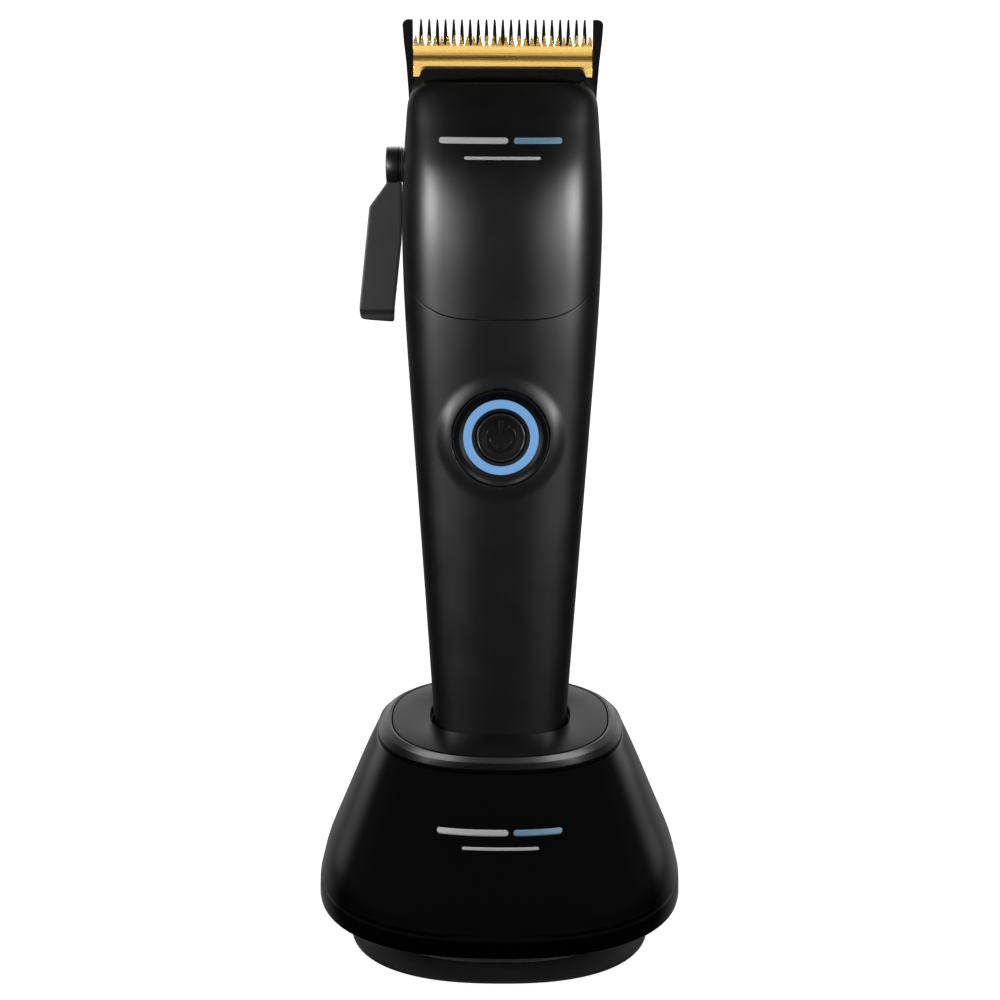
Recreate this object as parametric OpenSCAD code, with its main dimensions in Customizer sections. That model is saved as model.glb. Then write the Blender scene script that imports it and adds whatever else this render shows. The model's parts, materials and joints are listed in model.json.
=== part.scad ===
// Cordless hair clipper standing blades up in its charging stand.
// The origin is the centre of the stand's footprint on the floor, +Z is up and -Y is the front.
// The clipper is drawn upright in its own frame, with its tail at the origin, and then leaned back.

/* [Clipper] */
// Angle that the clipper leans back in the stand
lean_angle = 10; // [5:1:12]
// Wall thickness of the clipper's shells
wall_t = 2.0; // [1.6:0.1:2.2]
// Height of the switch above the tail
switch_z = 86; // [85:0.5:87]
// Gap between neighbouring shells
seam_gap = 0.2; // [0.1:0.05:0.3]
// Depth of the handle at the tail, from its middle plane to the front or the back
tail_depth = 11.5; // [11.4:0.1:12.5]

/* [Blades] */
// Angle that the blades tip forward from the handle's axis
blade_tilt = 12; // [11:0.5:13]
// Height of the fixed blade's tips above the tail
blade_top = 181.3; // [181:0.1:181.8]
// Width of the fixed blade across its tips
comb_w = 46; // [44:0.5:46.5]
// Number of slim teeth on the fixed blade
comb_teeth = 21; // [15:1:25]
// Width of the moving blade
cutter_w = 41; // [38:0.5:41]
// Number of teeth on the moving blade
cutter_teeth = 28; // [20:1:32]
// Stroke of the moving blade each way
cutter_throw = 1.2; // [0.8:0.1:1.2]
// How far the fixed blade stands past the moving one at rest
blade_lead = 3.7; // [3.2:0.1:4]
// Offset of the lever's crank, which slides the fixed blade
crank_offset = 4.1; // [3.8:0.1:4.2]

/* [Stand] */
// Height of the stand's top plate
stand_h = 53; // [52:0.5:55]
// Half of the stand's greatest width
stand_half_w = 42.7; // [41.5:0.1:43.5]
// Depth of the stand as a share of its width
stand_depth_ratio = 0.97; // [0.9:0.01:1]
// Distance of the socket's middle behind the plate's middle
socket_back = 2.4; // [1:0.1:3]
// Depth of the clipper's tail below the top plate
tail_sunk = 18.7; // [17:0.1:19.2]

/* [Hidden] */
$fn = 48;
tiny = 0.01;
over = 1;

// Outline exponents: 2 is an ellipse, and larger values are squarer
front_power = 2.7;
rear_power = 2.3;
stand_power = 2.4;
socket_power = 2.8;

// Clipper's stations: height, half width, depth to the front and depth to the back
stations = [
    [0, 14.4, tail_depth, tail_depth],
    [20, 15.75, 12.2, 12.6],
    [50, 17.9, 13.2, 14.8],
    [86, 20.55, 14.6, 17.2],
    [115, 22.55, 17.0, 19.4],
    [134.5, 23.2, 18.2, 18.8],
    [147.3, 22.9, 17.2, 13.4],
    [158.3, 22.25, 13.0, 8.0],
    [167.3, 22.1, 8.6, 6.0]];

// Front parting curve between the head cover and the front housing
seam_mid_z = 113.6;
seam_rise = 8.2;
seam_curve = 3;

cover_top = 166.9;
cover_corner = 3.0;
shell_bottom = 3.2;
heel_z = 150.9;
tail_cap_t = 3.0;
columns = 26;

// Blades, in a frame at the fixed blade's tips: +Z to the tips, -Y to the front
blade_y = -4;
comb_t = 2.2;
comb_len = 27;
comb_root = 7.2;
comb_end_w = 2.1;
cutter_t = 1.55;
cutter_len = 9.4;
cutter_root = 2.3;
blade_gap = 0.05;
guide_front = 3.6;
carrier_half_w = 15;
carrier_bottom = 28.5;
carrier_top = 17.6;
blade_screw_x = 11.5;
blade_screw_z = 20.5;

// Lever
lever_y = 5;
lever_z = 147.5;
lever_swing = 40;
shaft_r = 2.5;
crank_pin_r = 1.3;
bush_r = 4.0;
boss_r = 4.5;
boss_inner_x = 23.45;
boss_outer_x = 27.1;
lever_t = 3.2;

// Switch
switch_front = 14.4;
bezel_r = 11.3;
ring_outer_r = 8.7;
ring_inner_r = 6.75;
button_r = 5.75;

// Power train
motor_y = 0.5;
motor_r = 12;
motor_z = 97.5;
motor_len = 29.5;
motor_shaft_r = 1.0;
cell_r = 9;
cell_y = 0.6;
cell_z = 9;
cell_len = 65;
rail_t = 2.3;

// Stand
tail_y = socket_back - tail_sunk * sin(lean_angle);
tail_z = stand_h - tail_sunk * cos(lean_angle);
plate_half = 25.3;
crease_half = 29.0;
crease_drop = 3;
plate_t = 2.5;
foot_half = 36.3;
foot_top = 9.5;
base_top = 11.4;
pad_t = 0.8;
stand_wall = 2.5;
socket_half_w = 16.3;
socket_half_d = 13.6;
socket_wall = 1.8;
floor_gap = 0.3;
pin_x = 4;
pin_r = 0.9;
pin_play = 0.05;
post_x = 17.5;
post_y = 16;
post_r = 3.0;
inlet_z = 16.5;
inlet_r = 2.75;
inlet_depth = 9.5;
inlet_face = 39.9;

// ---- Functions ----

// Smooth value of a station column at height z, by a cubic through the neighbouring stations
function slope(t, i, c) =
    i <= 0 ? (t[1][c] - t[0][c]) / (t[1][0] - t[0][0]) :
    i >= len(t) - 1 ? (t[i][c] - t[i - 1][c]) / (t[i][0] - t[i - 1][0]) :
    (t[i + 1][c] - t[i - 1][c]) / (t[i + 1][0] - t[i - 1][0]);
function span_of(t, z, i = 0) = i >= len(t) - 2 || z < t[i + 1][0] ? i : span_of(t, z, i + 1);
function cubic(t, z, c) =
    let(i = span_of(t, z), h = t[i + 1][0] - t[i][0], u = (z - t[i][0]) / h)
    (1 + 2 * u) * pow(1 - u, 2) * t[i][c] + u * pow(1 - u, 2) * h * slope(t, i, c)
    + u * u * (3 - 2 * u) * t[i + 1][c] + u * u * (u - 1) * h * slope(t, i + 1, c);

// Point of a superellipse at angle a
function rounded(a, half_x, half_y, power) =
    [sign(cos(a)) * half_x * pow(abs(cos(a)), 2 / power),
     sign(sin(a)) * half_y * pow(abs(sin(a)), 2 / power)];
function outline(half_x, half_y, power, n = 64) =
    [for (i = [0:n - 1]) rounded(i * 360 / n, half_x, half_y, power)];

// Depth of the blades' meeting plane at height z, and of the parting plane of the shells
function blade_plane(z) = blade_y + (blade_top - z) * tan(blade_tilt);
function parting(z) = min(0, blade_plane(z) - 0.4);

// Triangles of a closed shell from two grids of points, outer first, rows by columns
function quads(a, b, c, d) = [[a, b, c], [a, c, d]];
function shell_faces(rows, cols, wrap) =
    let(n = rows * cols, last = wrap ? cols - 1 : cols - 2)
    [for (i = [0:rows - 2], j = [0:last])
        let(k = (j + 1) % cols, a = i * cols + j, b = i * cols + k)
        each concat(quads(a, a + cols, b + cols, b),
                    quads(n + a, n + b, n + b + cols, n + a + cols)),
     for (j = [0:last])
        let(k = (j + 1) % cols, t = (rows - 1) * cols)
        each concat(quads(j, k, n + k, n + j), quads(t + j, n + t + j, n + t + k, t + k)),
     if (!wrap) for (i = [0:rows - 2])
        let(a = i * cols, b = a + cols - 1)
        each concat(quads(a, n + a, n + a + cols, a + cols),
                    quads(b, b + cols, n + b + cols, n + b))];

// Point of the clipper's skin, set in by inset, on the front (side -1) or the back (side 1)
function skin(z, a, inset, side) =
    let(power = side < 0 ? front_power : rear_power,
        p = rounded(a, cubic(stations, z, 1) - inset,
                    cubic(stations, z, side < 0 ? 2 : 3) - inset, power))
    [p[0], parting(z) + side * (seam_gap / 2 + abs(p[1])), z];
function seam_z(a) = seam_mid_z + seam_rise * pow(abs(cos(a)), seam_curve);
function corner_inset(z) =
    let(d = max(0, z - cover_top + cover_corner))
    cover_corner - sqrt(max(0, cover_corner * cover_corner - d * d));
function cover_z(a, v, low) = low + (cover_top - low) * v;

// Half width of the stand's shell at height z
function stand_side(z) = cubic(
    [[9.6, stand_half_w - 0.3], [10.4, stand_half_w], [14.2, stand_half_w - 0.2],
     [16, stand_half_w - 0.6], [19, stand_half_w - 1.3], [22.5, stand_half_w - 2.4],
     [30, stand_half_w - 5.4], [42.5, stand_half_w - 10.4],
     [stand_h - crease_drop, crease_half]], z, 1);

// ---- Placement ----

module lean() {
    translate([0, tail_y, tail_z]) rotate([-lean_angle, 0, 0]) children();
}
module at_blades() {
    lean() translate([0, blade_y, blade_top]) rotate([blade_tilt, 0, 0]) children();
}
module at_switch() {
    lean() translate([0, -switch_front, switch_z]) rotate([90, 0, 0]) children();
}
module at_lever() {
    lean() translate([0, lever_y, lever_z]) rotate([0, -90, 0]) children();
}
module mirrored() {
    children();
    mirror([1, 0, 0]) children();
}
module box(low, high) {
    translate(low) cube(high - low);
}
module ring(outer_r, inner_r, h) {
    difference() {
        cylinder(r = outer_r, h = h);
        translate([0, 0, -over]) cylinder(r = inner_r, h = h + 2 * over);
    }
}
module slab(half_x, half_y, power, low, high) {
    translate([0, 0, low]) linear_extrude(high - low) polygon(outline(half_x, half_y, power));
}

// ---- Stand ----

module stand_ring(profile) {
    n = 64;
    rows = len(profile);
    outer = [for (p = profile, i = [0:n - 1])
        concat(rounded(i * 360 / n, p[0], p[0] * stand_depth_ratio, stand_power), [p[2]])];
    inner = [for (p = profile, i = [0:n - 1])
        concat(rounded(i * 360 / n, p[1], p[1] * stand_depth_ratio, stand_power), [p[3]])];
    polyhedron(points = concat(outer, inner), faces = shell_faces(rows, n, true));
}

module base_pad() {
    color("dimgray") slab(foot_half - 1, (foot_half - 1) * stand_depth_ratio, stand_power, 0, pad_t);
}

module stand_base() {
    flange = stand_half_w - stand_wall - 0.5;
    color("black") difference() {
        union() {
            slab(foot_half, foot_half * stand_depth_ratio, stand_power, pad_t, foot_top);
            slab(flange, flange * stand_depth_ratio, stand_power, foot_top, base_top);
        }
        slab(foot_half - 3, (foot_half - 3) * stand_depth_ratio, stand_power, 3, base_top + over);
        for (x = [-post_x, post_x], y = [-post_y, post_y]) translate([x, y, 0]) {
            translate([0, 0, pad_t - over]) cylinder(r = 1.6, h = 4);
            translate([0, 0, pad_t - over]) cylinder(r = 3, h = over + 1.2);
        }
    }
}

module ballast_plate() {
    color("silver") difference() {
        slab(30, 29, stand_power, 3, 7);
        for (x = [-post_x, post_x], y = [-post_y, post_y])
            translate([x, y, 3 - over]) cylinder(r = 4.2, h = 6);
    }
}

module base_screws() {
    color("gray") for (x = [-post_x, post_x], y = [-post_y, post_y]) translate([x, y, pad_t]) {
        cylinder(r = 2.8, h = 1.2);
        cylinder(r = 1.5, h = 14);
    }
}

module stand_shell() {
    top = stand_h - crease_drop;
    heights = [9.6, 10.4, 12.3, 14.2, 15.2, 17, 19, 22, 26, 30, 34, 38, 42.5, 46.5, top];
    color("black") difference() {
        stand_ring([for (z = heights) [stand_side(z), stand_side(z) - stand_wall, z, z]]);
        translate([0, 30, inlet_z]) rotate([-90, 0, 0]) cylinder(r = 5, h = 15);
    }
}

module stand_rim() {
    low = stand_h - crease_drop;
    inner = plate_half + 0.2;
    color("black") stand_ring([
        [crease_half, crease_half - 1.2, low + tiny, low + tiny],
        [crease_half - 0.2, inner, low + 0.9, low + 0.6],
        [crease_half - 1.4, inner, low + 2.2, low + 1.6],
        [inner + 0.9, inner, stand_h - 0.1, low + 2.4],
        [inner + 0.4, inner, stand_h, stand_h - 0.3]]);
}

module socket_mouth(low, high, extra) {
    translate([0, socket_back, 0])
        slab(socket_half_w + extra, socket_half_d + extra, socket_power, low, high);
}

module stand_top_plate() {
    color("dimgray") difference() {
        slab(plate_half, plate_half * stand_depth_ratio, stand_power, stand_h - plate_t, stand_h);
        socket_mouth(stand_h - plate_t - over, stand_h + over, 0);
    }
}

module stand_frame() {
    low = 44;
    color("gray") difference() {
        union() {
            slab(26, 25, stand_power, low, low + 2);
            for (x = [-post_x, post_x], y = [-post_y, post_y]) translate([x, y, 0]) {
                translate([0, 0, 3]) cylinder(r = post_r, h = low - 3);
                translate([0, 0, low]) cylinder(r = post_r, h = stand_h - plate_t - low);
            }
        }
        lean() slab(socket_half_w + socket_wall + 0.2, socket_half_d + socket_wall + 0.2,
            socket_power, -15, 40);
        for (x = [-post_x, post_x], y = [-post_y, post_y])
            translate([x, y, 3 - over]) cylinder(r = 1.5, h = 14);
    }
}

module socket_cup() {
    top = stand_h - plate_t;
    color("black") intersection() {
        lean() difference() {
            union() {
                slab(socket_half_w + socket_wall, socket_half_d + socket_wall, socket_power,
                    -floor_gap - 2, 30);
                for (x = [-12, 12], y = [-7, 7])
                    translate([x, y, -10.4]) cylinder(r = 1.6, h = 9);
            }
            slab(socket_half_w, socket_half_d, socket_power, -floor_gap, 31);
            for (x = [-pin_x, pin_x]) translate([x, 0, -5]) cylinder(r = pin_r + 0.3, h = 6);
        }
        box([-40, -40, 0], [40, 40, top]);
    }
}

module contact_block() {
    color("gray") lean() difference() {
        box([-9, -3.5, -10.4], [9, 3.5, -floor_gap - 2]);
        for (x = [-pin_x, pin_x]) {
            translate([x, 0, -12]) cylinder(r = pin_r + pin_play, h = 12);
            translate([x, 0, -9]) cylinder(r = 1.7, h = 5);
        }
    }
}

module contact_pins() {
    color("gold") lean() for (x = [-pin_x, pin_x]) translate([x, 0, 0]) {
        translate([0, 0, -9.4]) cylinder(r = pin_r, h = 9.35);
        translate([0, 0, -5]) cylinder(r = 1.6, h = 0.9);
    }
}

module contact_springs() {
    color("silver") lean() for (x = [-pin_x, pin_x])
        translate([x, 0, -9]) ring(1.5, pin_r + pin_play, 4);
}

module charge_board() {
    color("darkgreen") lean() difference() {
        box([-15, -10, -12], [15, 10, -10.4]);
        for (x = [-pin_x, pin_x]) translate([x, 0, -13]) cylinder(r = 1.4, h = 3);
    }
}

module dc_inlet() {
    color("black") difference() {
        union() {
            box([-5.5, 27, base_top], [5.5, 34.6, inlet_z + 5.5]);
            translate([0, 30, inlet_z]) rotate([-90, 0, 0]) cylinder(r = 4.8, h = inlet_face - 30);
        }
        translate([0, inlet_face - inlet_depth, inlet_z]) rotate([-90, 0, 0])
            cylinder(r = inlet_r, h = inlet_depth + over);
    }
}

// ---- Clipper's shells ----

module skin_shell(outer, inner, cols) {
    polyhedron(points = concat(outer, inner),
        faces = shell_faces(len(outer) / cols, cols, false));
}

module front_housing() {
    rows = 16;
    function row_z(a, i) =
        shell_bottom + (seam_z(a) - seam_gap / 2 - shell_bottom) * i / (rows - 1);
    function grid(inset) = [for (i = [0:rows - 1], j = [0:columns])
        let(a = 180 + 180 * j / columns) skin(row_z(a, i), a, inset, -1)];
    color("black") lean() difference() {
        skin_shell(grid(0), grid(wall_t), columns + 1);
        translate([0, -switch_front, switch_z]) rotate([90, 0, 0])
            translate([0, 0, -8]) cylinder(r = bezel_r + 0.1, h = 16);
    }
}

module rear_housing() {
    heights = [shell_bottom, 10, 20, 35, 50, 65, 80, 95, 105, 115, 124, 132, 137, 142, 146, 149,
        heel_z];
    function grid(inset) = [
        for (z = heights, j = [0:columns]) skin(z, 180 - 180 * j / columns, inset, 1),
        for (j = [0:columns])
            let(a = 180 - 180 * j / columns, p = skin(heel_z, a, 0, 1))
            inset > 0 ? [p[0] * 0.86, parting(0) + 0.1 + (p[1] - 0.1) * 0.5, heel_z - 1.2]
                : [p[0] * 0.94, parting(0) + 0.1 + (p[1] - 0.1) * 0.62, heel_z + 0.9]];
    color("black") lean() difference() {
        skin_shell(grid(0), grid(wall_t), columns + 1);
        translate([0, lever_y, lever_z]) rotate([0, -90, 0])
            translate([0, 0, 14]) cylinder(r = bush_r + 0.05, h = 14);
        for (p = housing_screw_spots) translate([p[0], 6, p[1]]) rotate([-90, 0, 0])
            cylinder(r = 2.6, h = 20);
    }
}
housing_screw_spots = [[-11.15, 84], [11.15, 84], [-14.5, 131], [14.5, 131]];

module head_cover() {
    rows = 12;
    function grow(v) = sin(90 * v);
    function point(a, v, inset) =
        let(low = seam_z(a) + seam_gap / 2, z = low + (cover_top - low) * grow(v),
            c = corner_inset(z), p = skin(z, a, inset + c * (inset > 0 ? 0.15 : 0.4), -1))
        [p[0] - (inset > 0 ? 0 : sign(cos(a)) * c * 0.3), p[1], z - inset * v];
    function lip(a, inset) =
        let(p = rounded(a, 20 - inset * 0.1, 4.8 - inset * 0.1, 8))
        [p[0], parting(cover_top) - 0.1 + p[1], cover_top + (inset > 0 ? -0.4 : 1)];
    function grid(inset) = [
        for (i = [0:rows - 1], j = [0:columns]) point(180 + 180 * j / columns, i / (rows - 1), inset),
        for (j = [0:columns]) lip(180 + 180 * j / columns, inset)];
    color("black") lean() skin_shell(grid(0), grid(wall_t), columns + 1);
}

module tail_cap() {
    color("black") lean() difference() {
        slab(14.3, tail_depth - 0.1, rear_power, 0, tail_cap_t);
        for (x = [-pin_x, pin_x]) translate([x, 0, -over]) cylinder(r = 2.1, h = 6);
    }
}

module charging_contacts() {
    color("gold") lean() for (x = [-pin_x, pin_x]) translate([x, 0, 0]) cylinder(r = 2, h = 3.5);
}

// ---- Clipper's frame and power ----

module chassis() {
    color("gray") {
        lean() difference() {
            union() {
                mirrored() {
                    box([10, -3, 4], [10 + rail_t, 3, 94]);
                    box([12.7, -3, 92], [15, 3, 130.5]);
                    box([12, 0, 128], [17, 8, 134]);
                    box([15.1, -6, 130], [17.6, -2, 156.3]);
                }
                box([-12, -3, 4], [12, 3, 6]);
                box([-12, -3, 77], [12, 3, 79]);
                box([-15, -3, 92], [15, 3, 94]);
                box([-17.6, -6, 130], [17.6, 8, 132]);
            }
            translate([0, motor_y, 129]) cylinder(r = 4, h = 4);
            for (p = housing_screw_spots) translate([p[0], -5, p[1]]) rotate([-90, 0, 0])
                cylinder(r = 1.2, h = 20);
        }
        at_blades() mirrored() box([15.1, -4.2, -31.5], [17.6, -0.1, -17]);
    }
}

module battery_cell() {
    color("royalblue") lean() translate([0, cell_y, cell_z]) rotate_extrude() polygon([
        [0, 0], [cell_r - 0.6, 0], [cell_r, 0.6], [cell_r, cell_len - 2], [cell_r - 0.6, cell_len - 1.2],
        [3, cell_len - 1.2], [3, cell_len], [0, cell_len]]);
}

module battery_holder() {
    color("dimgray") lean() translate([0, cell_y, 0]) {
        translate([0, 0, 6]) cylinder(r = 9.2, h = cell_z - 6);
        translate([0, 0, cell_z + cell_len]) cylinder(r = 9.2, h = 2.6);
        mirrored() box([9.1, -2.5, 6], [9.9, 2.5, cell_z + cell_len + 2.6]);
    }
}

module circuit_board() {
    color("darkgreen") lean() box([-8, -10, 66], [8, -8.8, 93.5]);
}

module tact_switch() {
    color("silver") lean() box([-3, -10.9, switch_z - 3], [3, -10, switch_z + 3]);
}

module motor_can() {
    color("silver") lean() translate([0, motor_y, motor_z]) difference() {
        cylinder(r = motor_r, h = motor_len);
        translate([0, 0, 1.5]) cylinder(r = motor_r - 1.2, h = motor_len - 3);
        translate([0, 0, -over]) cylinder(r = motor_shaft_r + 0.05, h = motor_len + 2 * over);
        for (x = [-8, 8]) translate([x, 0, motor_len - 2]) cylinder(r = 0.9, h = 3);
    }
}

module motor_bracket() {
    color("gray") lean() translate([0, motor_y, motor_z + motor_len]) difference() {
        box([-12, -6, 0], [12, 7, 3]);
        translate([0, 0, -over]) cylinder(r = 3, h = 5);
        for (x = [-8, 8]) translate([x, 0, -over]) cylinder(r = 1.8, h = 5);
    }
}

module motor_screws() {
    color("silver") lean() for (x = [-8, 8])
        translate([x, motor_y, motor_z + motor_len - 1.5]) {
            cylinder(r = 0.85, h = 3);
            translate([0, 0, 1.5]) cylinder(r = 1.7, h = 1.6);
        }
}

module motor_armature() {
    color("darkgoldenrod") lean() translate([0, motor_y, motor_z + 4]) ring(8, motor_shaft_r, 21);
}

module motor_shaft() {
    color("silver") lean() translate([0, motor_y, motor_z + 0.3])
        cylinder(r = motor_shaft_r, h = 38);
}

module motor_eccentric() {
    color("white") lean() translate([0, motor_y, 132.6]) {
        ring(3.2, motor_shaft_r, 3.2);
        translate([0, 0, 3.2]) cylinder(r = 3.2, h = 1.2);
        translate([cutter_throw, 0, 3.2]) cylinder(r = 1, h = 5.6);
    }
}

// ---- Cutting head ----

module drive_fork() {
    color("white") lean() difference() {
        union() {
            box([-7, -4.5, 138], [7, 5, 141]);
            box([-3, -4.5, 138], [3, -2.4, 154.9]);
        }
        box([-3.6, motor_y - 2.6, 137], [3.6, motor_y + 2.6, 142]);
    }
}

module cutter_guide() {
    color("black") at_blades() rotate([90, 0, 0]) {
        translate([0, 0, cutter_t + blade_gap]) linear_extrude(guide_front - cutter_t - blade_gap)
            polygon([[-18.2, -10.5], [18.2, -10.5], [19.2, -12.2], [19.2, -12.6], [17.6, -13.4],
                [17.6, -16.8], [4.5, -16.8], [4.5, -27.8], [-4.5, -27.8], [-4.5, -16.8],
                [-17.6, -16.8], [-17.6, -13.4], [-19.2, -12.6], [-19.2, -12.2]]);
    }
}

// Outline of one tooth between half widths, from its root up to its tip
function tooth(x, root_half, tip_half, root, tip) =
    [[x - root_half, root], [x - tip_half, tip], [x + tip_half, tip], [x + root_half, root]];

module cutter_blade() {
    half = cutter_w / 2;
    pitch = (cutter_w - 1.2) / (cutter_teeth - 1);
    tip = -blade_lead;
    root = tip - cutter_root;
    bottom = tip - cutter_len;
    edge = [for (i = [0:cutter_teeth - 1])
        each tooth(-half + 0.6 + i * pitch, pitch * 0.4, 0.18, root, tip)];
    color("gold") at_blades() intersection() {
        rotate([90, 0, 0]) translate([0, 0, blade_gap]) linear_extrude(cutter_t)
            polygon(concat([[half, root], [half, bottom], [-half, bottom], [-half, root]], edge));
        rotate([90, 0, 90]) translate([0, 0, -half - over]) linear_extrude(cutter_w + 2 * over)
            polygon([[0, tip + over], [-0.5, tip + over], [-0.8, tip], [-1.3, root],
                [-1.3, root - 1.95], [-1, root - 2.25], [-0.95, root - 3.75],
                [-1.6, root - 4.75], [-1.6, bottom - over], [0, bottom - over]]);
    }
}

module comb_blade() {
    half = comb_w / 2;
    field = comb_w - 2 * comb_end_w;
    pitch = field / (comb_teeth + 1);
    edge = [for (i = [1:comb_teeth])
        each tooth(-field / 2 + i * pitch, pitch * 0.34, 0.13, -comb_root, -tiny)];
    end_piece = [[half - comb_end_w, -comb_root], [half - comb_end_w, -0.3],
        [half - comb_end_w + 0.3, 0], [half - 1.1, 0], [half - 0.3, -0.35], [half, -1.1]];
    left = [for (i = [len(end_piece) - 1:-1:0]) [-end_piece[i][0], end_piece[i][1]]];
    low_half = half - 1.7;
    color("black") at_blades() difference() {
        rotate([90, 0, 0]) translate([0, 0, -comb_t]) linear_extrude(comb_t)
            polygon(concat([[-low_half, -comb_len]], [[-half + 1.3, -11]], left, edge, end_piece,
                [[half - 1.3, -11]], [[low_half, -comb_len]]));
        rotate([90, 0, 90]) translate([0, 0, -half - over]) linear_extrude(comb_w + 2 * over)
            polygon([[0.7, over], [0.9, 0], [1.7, -4], [comb_t, -10], [comb_t + over, -10],
                [comb_t + over, over]]);
        for (x = [-blade_screw_x, blade_screw_x]) translate([x, 0, -blade_screw_z])
            rotate([-90, 0, 0]) {
                translate([0, 0, -over]) cylinder(r = 1.5, h = 5);
                translate([0, 0, 1]) cylinder(r = 2.8, h = 3);
            }
    }
}

module blade_screws() {
    color("silver") at_blades() for (x = [-blade_screw_x, blade_screw_x])
        translate([x, 0, -blade_screw_z]) rotate([-90, 0, 0]) {
            translate([0, 0, -3]) cylinder(r = 1.45, h = 4.5);
            translate([0, 0, 1.02]) cylinder(r = 2.7, h = 1.1);
        }
}

module blade_carrier() {
    crank_y = crank_pin[0];
    crank_z = crank_pin[1];
    color("dimgray") at_blades() difference() {
        union() {
            mirrored() box([8, -3.65, -carrier_bottom], [carrier_half_w, -0.01, -carrier_top]);
            box([-8.5, -1.4, -carrier_bottom], [8.5, -0.01, -22]);
            box([-13.8, crank_y - 3.4, crank_z - 3.2], [-10, crank_y + 2.6, -carrier_bottom + 0.5]);
        }
        for (x = [-blade_screw_x, blade_screw_x]) translate([x, over, -blade_screw_z])
            rotate([90, 0, 0]) cylinder(r = 1.5, h = 6);
        translate([-15, crank_y, crank_z]) {
            for (s = [-0.4, 0.4]) translate([0, s, 0]) rotate([0, 90, 0])
                cylinder(r = crank_pin_r + 0.06, h = 6);
            box([0, -0.4, -crank_pin_r - 0.06], [6, 0.4, crank_pin_r + 0.06]);
        }
    }
}
// Crank pin in the blades' frame: the lever's axis, then the crank's offset to the front and up
lever_in_blades = [
    (lever_y - blade_y) * cos(blade_tilt) + (lever_z - blade_top) * sin(blade_tilt),
    -(lever_y - blade_y) * sin(blade_tilt) + (lever_z - blade_top) * cos(blade_tilt)];
crank_pin = [lever_in_blades[0] - crank_offset * cos(lever_swing / 2),
    lever_in_blades[1] + crank_offset * sin(lever_swing / 2)];

module tension_spring() {
    color("silver") at_blades() difference() {
        box([-14, -4.1, -22.5], [14, -3.65, -15.2]);
        box([-7, -5, -23], [7, -3, -17.2]);
    }
}

// ---- Lever ----

module lever_bush() {
    color("dimgray") at_lever() translate([0, 0, 17.7]) ring(bush_r, shaft_r + 0.05, 5.4);
}

module lever_washer() {
    color("silver") at_lever() translate([0, 0, 23.15]) ring(boss_r - 0.3, shaft_r, 0.3);
}

module lever_shaft() {
    color("silver") {
        at_lever() translate([0, 0, 14]) cylinder(r = shaft_r, h = 11.6);
        at_blades() translate([-16, lever_in_blades[0], lever_in_blades[1]])
            rotate([-lever_swing / 2, 0, 0]) box([0, -crank_offset, -1.4], [1.8, 0, 1.4]);
        at_blades() translate([-16, crank_pin[0], crank_pin[1]]) rotate([0, 90, 0]) {
            translate([0, 0, 0.1]) cylinder(r = crank_pin_r + 0.5, h = 1.9);
            cylinder(r = crank_pin_r, h = 5.8);
        }
    }
}

module taper_lever() {
    arm_back = lever_t / 2;
    color("black") difference() {
        union() {
            at_lever() translate([0, 0, boss_inner_x])
                cylinder(r = boss_r, h = boss_outer_x - boss_inner_x);
            lean() translate([0, lever_y + arm_back, 0]) rotate([90, 0, 0])
                linear_extrude(lever_t) polygon([
                    [-boss_inner_x, lever_z - 2], [-boss_outer_x, lever_z - 2],
                    [-boss_outer_x, lever_z - 4.4], [-31.0, lever_z - 9.9],
                    [-33.3, lever_z - 33.2], [-33.3, lever_z - 35.3], [-32.4, lever_z - 36.3],
                    [-25.8, lever_z - 36.9], [-25.1, lever_z - 36.5], [-25.0, lever_z - 33.5],
                    [-23.6, lever_z - 16.5], [-boss_inner_x, lever_z - 5]]);
        }
        at_lever() translate([0, 0, boss_inner_x - over]) cylinder(r = shaft_r, h = over + 2.6);
        at_lever() translate([0, 0, boss_inner_x]) cylinder(r = 1.2, h = 5);
        at_lever() translate([0, 0, boss_outer_x - 1]) cylinder(r = 2.4, h = 2);
    }
}

module lever_screw() {
    color("gray") at_lever() translate([0, 0, boss_outer_x]) {
        translate([0, 0, -1]) cylinder(r = 2.3, h = 0.8);
        translate([0, 0, -1.38]) cylinder(r = 1.15, h = 1);
    }
}

// ---- Switch ----

module switch_bezel() {
    color("black") at_switch() rotate_extrude($fn = 96) polygon([
        [button_r + 0.15, -3], [bezel_r, -3], [bezel_r, -0.7], [10.6, -0.1], [9.7, -1.1],
        [ring_outer_r + 0.05, -1.5], [ring_outer_r + 0.05, -2.3], [ring_inner_r - 0.05, -2.3],
        [ring_inner_r - 0.05, -1.5], [button_r + 0.15, -1.5]]);
}

module light_ring() {
    color("skyblue") at_switch() translate([0, 0, -2.3]) ring(ring_outer_r, ring_inner_r, 0.95);
}

module power_button() {
    color("black") at_switch() {
        translate([0, 0, -2.6]) cylinder(r = button_r, h = 1.3);
        translate([0, 0, -2.9]) cylinder(r = 1.5, h = 0.4);
    }
}

module housing_screws() {
    color("gray") lean() for (p = housing_screw_spots)
        let(back = cubic(stations, p[1], 3) * pow(1 - pow(abs(p[0]) / cubic(stations, p[1], 1),
            rear_power), 1 / rear_power))
        translate([p[0], 0, p[1]]) rotate([-90, 0, 0]) {
            translate([0, 0, 1]) cylinder(r = 1.15, h = back - 2.6);
            translate([0, 0, back - 2.4]) cylinder(r = 2.4, h = 1.2);
        }
}

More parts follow.
